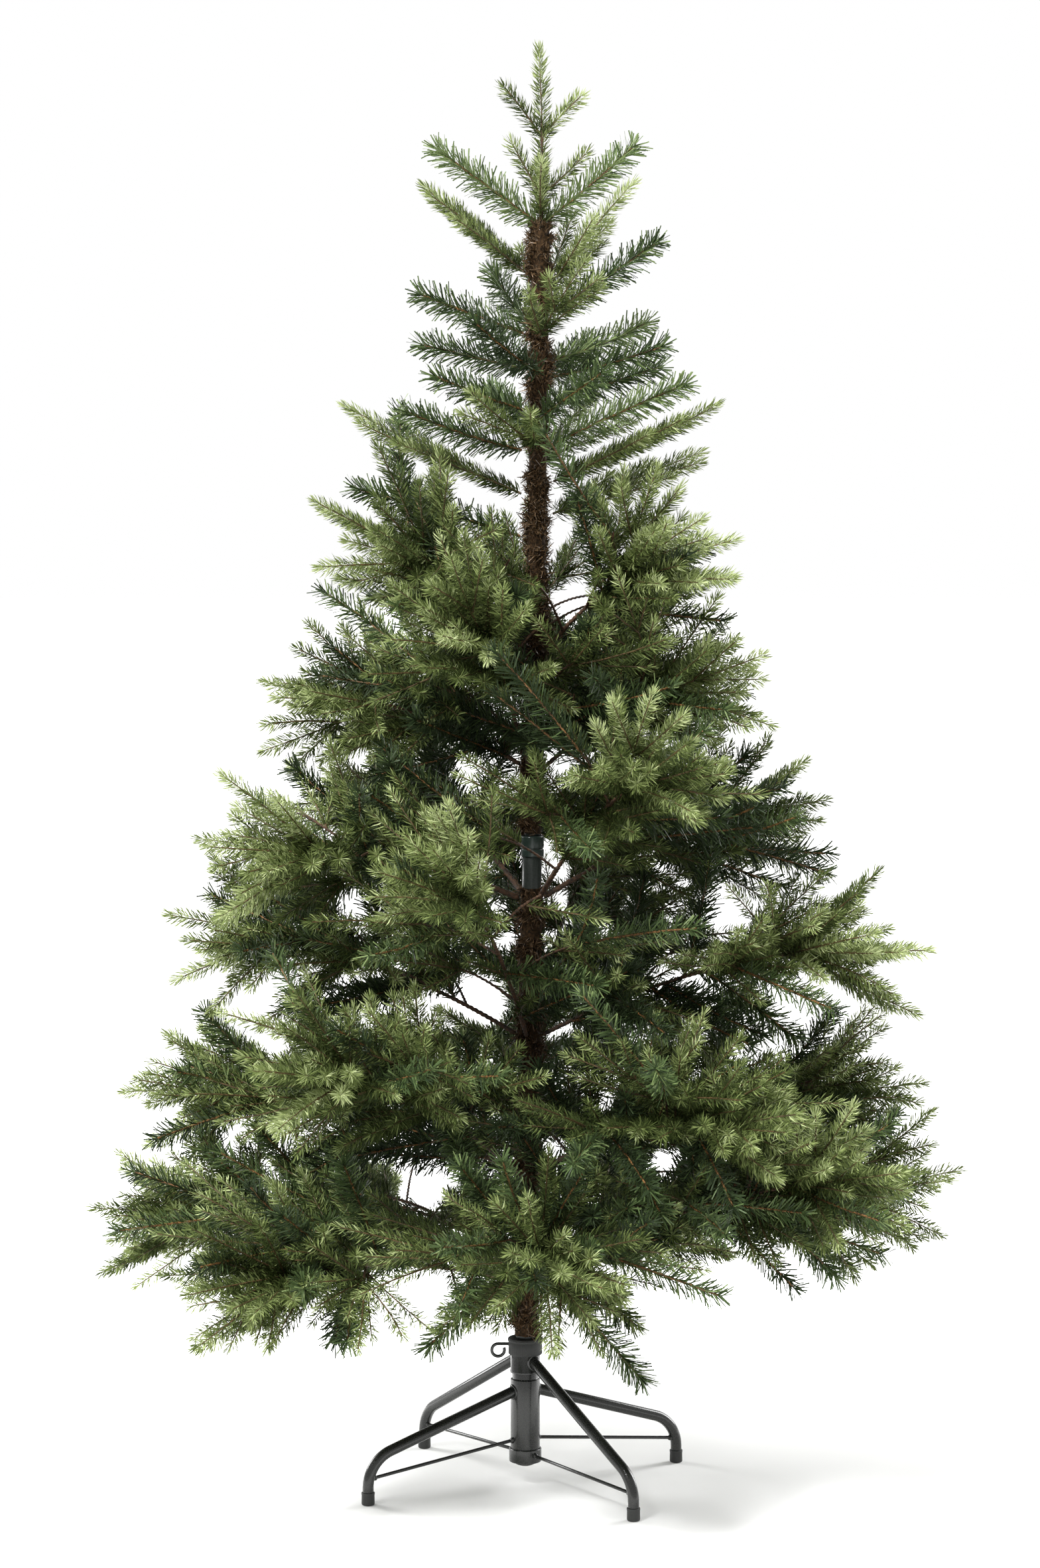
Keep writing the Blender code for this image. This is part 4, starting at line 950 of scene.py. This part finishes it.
def wound_rod(path, first_radius, last_radius, sides=8):
    """Points and faces of a rod with a wound tape's ridge running round it."""
    spots = np.array(path)
    run = np.concatenate([[0.0], np.cumsum(np.linalg.norm(np.diff(spots, axis=0), axis=1))])
    count = max(3, int(run[-1] / TAPE_STEP))
    share = np.linspace(0.0, 1.0, count)
    line = np.stack([np.interp(share * run[-1], run, spots[:, k]) for k in range(3)], axis=1)
    angle = np.arange(sides) * math.tau / sides
    ridge = np.sin(share[:, None] * run[-1] / TAPE_PITCH * math.tau + angle[None])
    radius = first_radius + (last_radius - first_radius) * share[:, None] + TAPE_RIDGE * ridge
    radius[0] *= 0.6
    radius[-1] *= 0.3
    return round_bars(line, unit(np.gradient(line, axis=0)), radius, sides, count)


def gathered(pairs):
    """Several arrays of points and faces as one."""
    points, faces, start = [], [], 0
    for rows, corners in pairs:
        points.append(rows)
        faces.append(corners + start)
        start += len(rows)
    return np.concatenate(points), np.concatenate(faces)


bough_rods = sheet_mesh("bough_rods", *gathered(
    wound_rod(path, BOUGH_ROOT_RADIUS - ROOT_TRIM, BOUGH_TIP_RADIUS - TIP_TRIM)
    for _name, path in boughs))
fit(bough_rods, bough_tape, "bough_wire", *[name for name, _path in boughs])
stem_rods = sheet_mesh("stem_rods", *gathered(
    [wound_rod(stem, BOUGH_TIP_RADIUS - TIP_TRIM, STEM_TIP_RADIUS - TIP_TRIM, 6)
     for stem in stems]
    + [wound_rod(twig, TWIG_RADIUS, TWIG_TIP_RADIUS, 5) for twig in twigs]))
fit(stem_rods, bough_tape, "bough_wire", *mass_nodes)


# ---- sprays
# Two kinds of tip. A brush is a twisted wire that holds cut strips of green film, and a
# sprig is moulded, three or five soft fingers on a stalk, with curved needles all round.
FINGER_PAIRS = ((0.04, 0.62, 0.36), (0.34, 0.82, 0.27))
FULL_HANDS = {True: 0.6, False: 0.15}      # share with both pairs: main, finer sprigs
BRUSH_BOW, FINGER_BOW = ((-0.1, 0.06), (-0.1, 0.1)), ((-0.1, 0.14), (-0.08, 0.08))
finger_chance = random.Random(SEED + 1)
STALK_RADII, WIRE_RADII = (0.0015, 0.0007), (0.0017, 0.0013)        # at the root and tip
GOLDEN_ANGLE = 2.39996          # turn from one needle to the next
# needles stand out at an angle, bend forwards, and close over the last part of a finger
NEEDLE_SPREAD, NEEDLE_BEND, TUFT_CLOSING = 60.0, (10.0, 34.0), 34.0
TUFT_START, TUFT_PART = 0.86, 0.14
STRIP_SPREAD, STRIP_CLOSING, STRIP_TWIST = 54.0, 14.0, 0.6
# a spray's tone comes from its place on the bough, paler further out and at the top as painted
# light and darker inside the crown as painted shade, and from chance
TONE_CHANCE, LEAF_FROM, FRESH_FROM = (-0.5, 0.45), 0.66, 1.2
PIECE_LIMIT = 90000             # needles in one piece


def curved(item, first, last):
    """One finger between two points, bowed a little: a row of numbers."""
    reach = (last - first).length
    way = (last - first) / reach
    upwards, sideways = BRUSH_BOW if item["kind"] == "brush" else FINGER_BOW
    curl = (item["axis"].cross(item["side"]) * finger_chance.uniform(*upwards)
            + item["side"] * finger_chance.uniform(*sideways))
    return (*first, *(way - curl), *curl, reach, item["main"], item["tone"])


def fingers_of(item):
    """The leading finger of a sprig and one or two pairs, or one finger or wire alone."""
    root, axis, side, length = item["root"], item["axis"], item["side"], item["length"]
    ends = [(root, root + axis * length)]
    if item["kind"] == "sprig":
        full = finger_chance.random() < FULL_HANDS[item["main"]]
        for start, along, out in FINGER_PAIRS if full else FINGER_PAIRS[:1]:
            for hand in (-1.0, 1.0):
                along_now = along * finger_chance.uniform(0.94, 1.06)
                out_now = out * finger_chance.uniform(0.88, 1.12)
                ends.append((root + axis * (start * length),
                             root + axis * (along_now * length) + side * (hand * out_now * length)))
    return [curved(item, first, last) for first, last in ends
            if opens_sky(first, last, GAP_ROOM[item["kind"]])]


class Fingers:
    """Arrays of fingers, which needles and wires are set along."""

    def __init__(self, chosen):
        rows = np.array([row for item in chosen for row in fingers_of(item)], float)
        self.start, self.way, self.curl = rows[:, 0:3], rows[:, 3:6], rows[:, 6:9]
        self.length, self.main, self.tone = rows[:, 9], rows[:, 10] > 0.5, rows[:, 11]

    def point(self, owner, share):
        reach = (self.length[owner] * share)[:, None]
        return (self.start[owner] + self.way[owner] * reach
                + self.curl[owner] * reach * share[:, None])

    def heading(self, owner, share):
        return unit(self.way[owner] + self.curl[owner] * (2.0 * share)[:, None])

    def set_out(self, per_metre, rng):
        """Owner, share, heading and outward direction of needles, evenly all along."""
        counts = np.maximum(8, np.round(self.length * np.where(self.main, *per_metre))).astype(int)
        owner = np.repeat(np.arange(len(counts)), counts)
        order = np.arange(len(owner)) - np.repeat(np.cumsum(counts) - counts, counts)
        share = (order + rng.random(len(owner))) / counts[owner]
        turn = order * GOLDEN_ANGLE + rng.normal(0.0, 0.35, len(owner))
        heading = self.heading(owner, share)
        return owner, share, heading, swung(*crossways(heading), turn)

    def sizes(self, owner, length, spread, rng):
        return np.where(self.main[owner], *length) * rng.uniform(*spread, len(owner))


def swung(first, second, angle):
    """Each row of directions turned by its angle from the first towards the second."""
    return first * np.cos(angle)[:, None] + second * np.sin(angle)[:, None]


def thin_wires(fingers, first_radius, last_radius, rings=4, sides=4):
    """A tapered stalk along every finger."""
    count = len(fingers.length)
    owner, share = np.repeat(np.arange(count), rings), np.tile(np.linspace(0.0, 0.97, rings), count)
    radius = (first_radius + (last_radius - first_radius) * share)[:, None]
    return round_bars(fingers.point(owner, share), fingers.heading(owner, share), radius,
                      sides, rings)


def moulded_needles(fingers, rng, per_metre, length, width):
    """Curved needles, pointed at both ends, two faces each, all round every finger."""
    owner, share, heading, out = fingers.set_out(per_metre, rng)
    near_tip = np.maximum(0.0, (share - TUFT_START) / TUFT_PART)
    spread = np.radians(NEEDLE_SPREAD - TUFT_CLOSING * near_tip ** 1.5
                        + rng.normal(0.0, 6.0, len(owner)))
    bend = np.radians(rng.uniform(*NEEDLE_BEND, len(owner)))
    size = fingers.sizes(owner, length, (0.85, 1.12), rng)
    size = (size * (1.0 - 0.25 * near_tip))[:, None]
    base = fingers.point(owner, share)
    early, late = swung(heading, out, spread), swung(heading, out, spread - bend)
    near, far = base + early * size * 0.3, base + (early * 0.52 + late * 0.22) * size
    tip = base + (early * 0.54 + late * 0.48) * size
    half = swung(*crossways(early), rng.uniform(0.0, math.tau, len(owner))) * width * 0.5
    rows = np.stack([base - half, near + half, far - half, tip + half * 0.4], axis=1)
    return rows, np.array([[0, 1, 2], [1, 3, 2]]), owner, share


def film_strips(fingers, rng, per_metre, length, width):
    """Straight cut strips, one quad each, all round every wire."""
    owner, share, heading, out = fingers.set_out(per_metre, rng)
    spread = np.radians(STRIP_SPREAD - STRIP_CLOSING * share ** 6
                        + rng.normal(0.0, 10.0, len(owner)))
    taper = np.minimum(1.0, 0.7 + 2.2 * share) * (1.0 - 0.25 * share ** 6)
    size = (fingers.sizes(owner, length, (0.8, 1.1), rng) * taper)[:, None]
    base = fingers.point(owner, share)
    early = swung(heading, out, spread)
    early = unit(early + rng.normal(0.0, 0.07, early.shape))
    tip = base + early * size
    roll = rng.uniform(0.0, math.tau, len(owner))
    half = swung(*crossways(early), roll) * width * 0.5
    twist = swung(*crossways(early), roll + STRIP_TWIST) * width * 0.5
    rows = np.stack([base - half, base + half, tip + twist, tip - twist], axis=1)
    return rows, np.array([[0, 1, 2, 3]]), owner, share


def dealt(name, rows, corners, finish):
    """Pieces of foliage with at most so many needles each."""
    for number, part in enumerate(np.array_split(rows, math.ceil(len(rows) / PIECE_LIMIT))):
        faces = np.arange(len(part))[:, None, None] * rows.shape[1] + corners
        made = sheet_mesh(f"{name}_{number + 1}", part.reshape(-1, 3),
                          faces.reshape(-1, corners.shape[1]))
        fit(made, finish, "foliage", *mass_nodes)


def dressed(name, finish_name, fingers, shape, per_metre, length, width, lots, shade_and_light_shares, tones,
            gloss):
    """Needles of one kind on all its fingers, dealt out by tone, darkest first.

    Lots pick the needles a tone darker and a tone lighter than their finger at random. The two
    shares after them are those of the finger below which needles go a tone darker, as painted shade
    towards its hidden root, and above which they go a tone lighter, as painted light on its tip.
    Gloss is roughness and shine."""
    rows, corners, owner, share = shape(fingers, needle_rng, per_metre, length, width)
    lot = needle_rng.random(len(owner))
    tone = fingers.tone[owner] + (lot > lots[1]) * 1 - (lot < lots[0]) * 1
    # needles near the finger's root go a tone darker as painted shade, those near its tip a tone
    # lighter as painted light
    tone = tone + (share > shade_and_light_shares[1]) * 1 - (share < shade_and_light_shares[0]) * 1
    tone = np.clip(tone, 0, len(tones) - 1)
    for step, (shade, colours) in enumerate(tones):
        finish = mottled(f"{finish_name}_{shade}", colours, 40.0, gloss[:2], shine=gloss[2])
        dealt(f"{name}_{shade}", rows[tone == step], corners, finish)


tone_chance = random.Random(SEED + 2)
for item in sprays:
    # painted light and shade: sprays further out and at the top get paler tones, those inside the
    # crown darker ones, loosened by chance
    pale = item["place"] + tone_chance.uniform(*TONE_CHANCE)
    item["tone"] = 2 if pale > FRESH_FROM else 1 if pale > LEAF_FROM else 0
sprigs = [item for item in sprays if item["kind"] != "brush"]
brushes = [item for item in sprays if item["kind"] == "brush"]
needle_rng = np.random.default_rng(SEED)

twig_brown = mottled("twig_brown", ((0.045, 0.032, 0.012), (0.12, 0.07, 0.025)),
                     300.0, (0.45, 0.65))
sprig_rows = Fingers(sprigs)
fit(sheet_mesh("sprig_stalks", *thin_wires(sprig_rows, *STALK_RADII)), twig_brown,
    "bough_wire", *mass_nodes)
# tones of the needles, darkest first, that stand as shaded and lit copies of one green: the darker
# ones for painted shade inside the crown and at finger roots, the paler ones for painted light on
# outer and upper tips, mixed with chance
SPRIG_TONES = (
    ("olive", ((0.034, 0.05, 0.013), (0.056, 0.076, 0.021))),
    ("leaf", ((0.094, 0.126, 0.035), (0.136, 0.174, 0.054))),
    ("fresh", ((0.19, 0.238, 0.08), (0.26, 0.312, 0.12))),
    ("pale", ((0.36, 0.42, 0.19), (0.46, 0.52, 0.27))))
# needles to a metre and their length, on the main sprays and on the finer ones
# the shares (0.22, 0.8) darken the needles near each finger's root as painted shade and lighten
# those near its tip as painted light
dressed("sprig_needles", "needle", sprig_rows, moulded_needles, (2400.0, 1450.0),
        (0.0185, 0.0165), 0.0013, (0.3, 0.78), (0.22, 0.8), SPRIG_TONES, (0.44, 0.62, 0.12))

wire_brown = mottled("wire_brown", ((0.06, 0.032, 0.012), (0.26, 0.125, 0.04)),
                     260.0, (0.4, 0.6))
brush_rows = Fingers(brushes)
fit(sheet_mesh("brush_wires", *thin_wires(brush_rows, *WIRE_RADII)), wire_brown,
    "bough_wire", *mass_nodes)
# tones of the strips, darkest first, as shaded and lit copies of one green: darker for painted
# shade inside the crown, paler for painted light further out and at the top, mixed with chance
BRUSH_TONES = (
    ("deep", ((0.02, 0.033, 0.013), (0.034, 0.052, 0.021))),
    ("green", ((0.052, 0.084, 0.028), (0.08, 0.12, 0.042))),
    ("soft", ((0.128, 0.176, 0.064), (0.182, 0.24, 0.096))))
dressed("brush_strips", "film", brush_rows, film_strips, (2500.0, 1600.0),
        (0.0285, 0.025), 0.0016, (0.25, 0.86), (0.0, 1.0), BRUSH_TONES, (0.36, 0.52, 0.16))
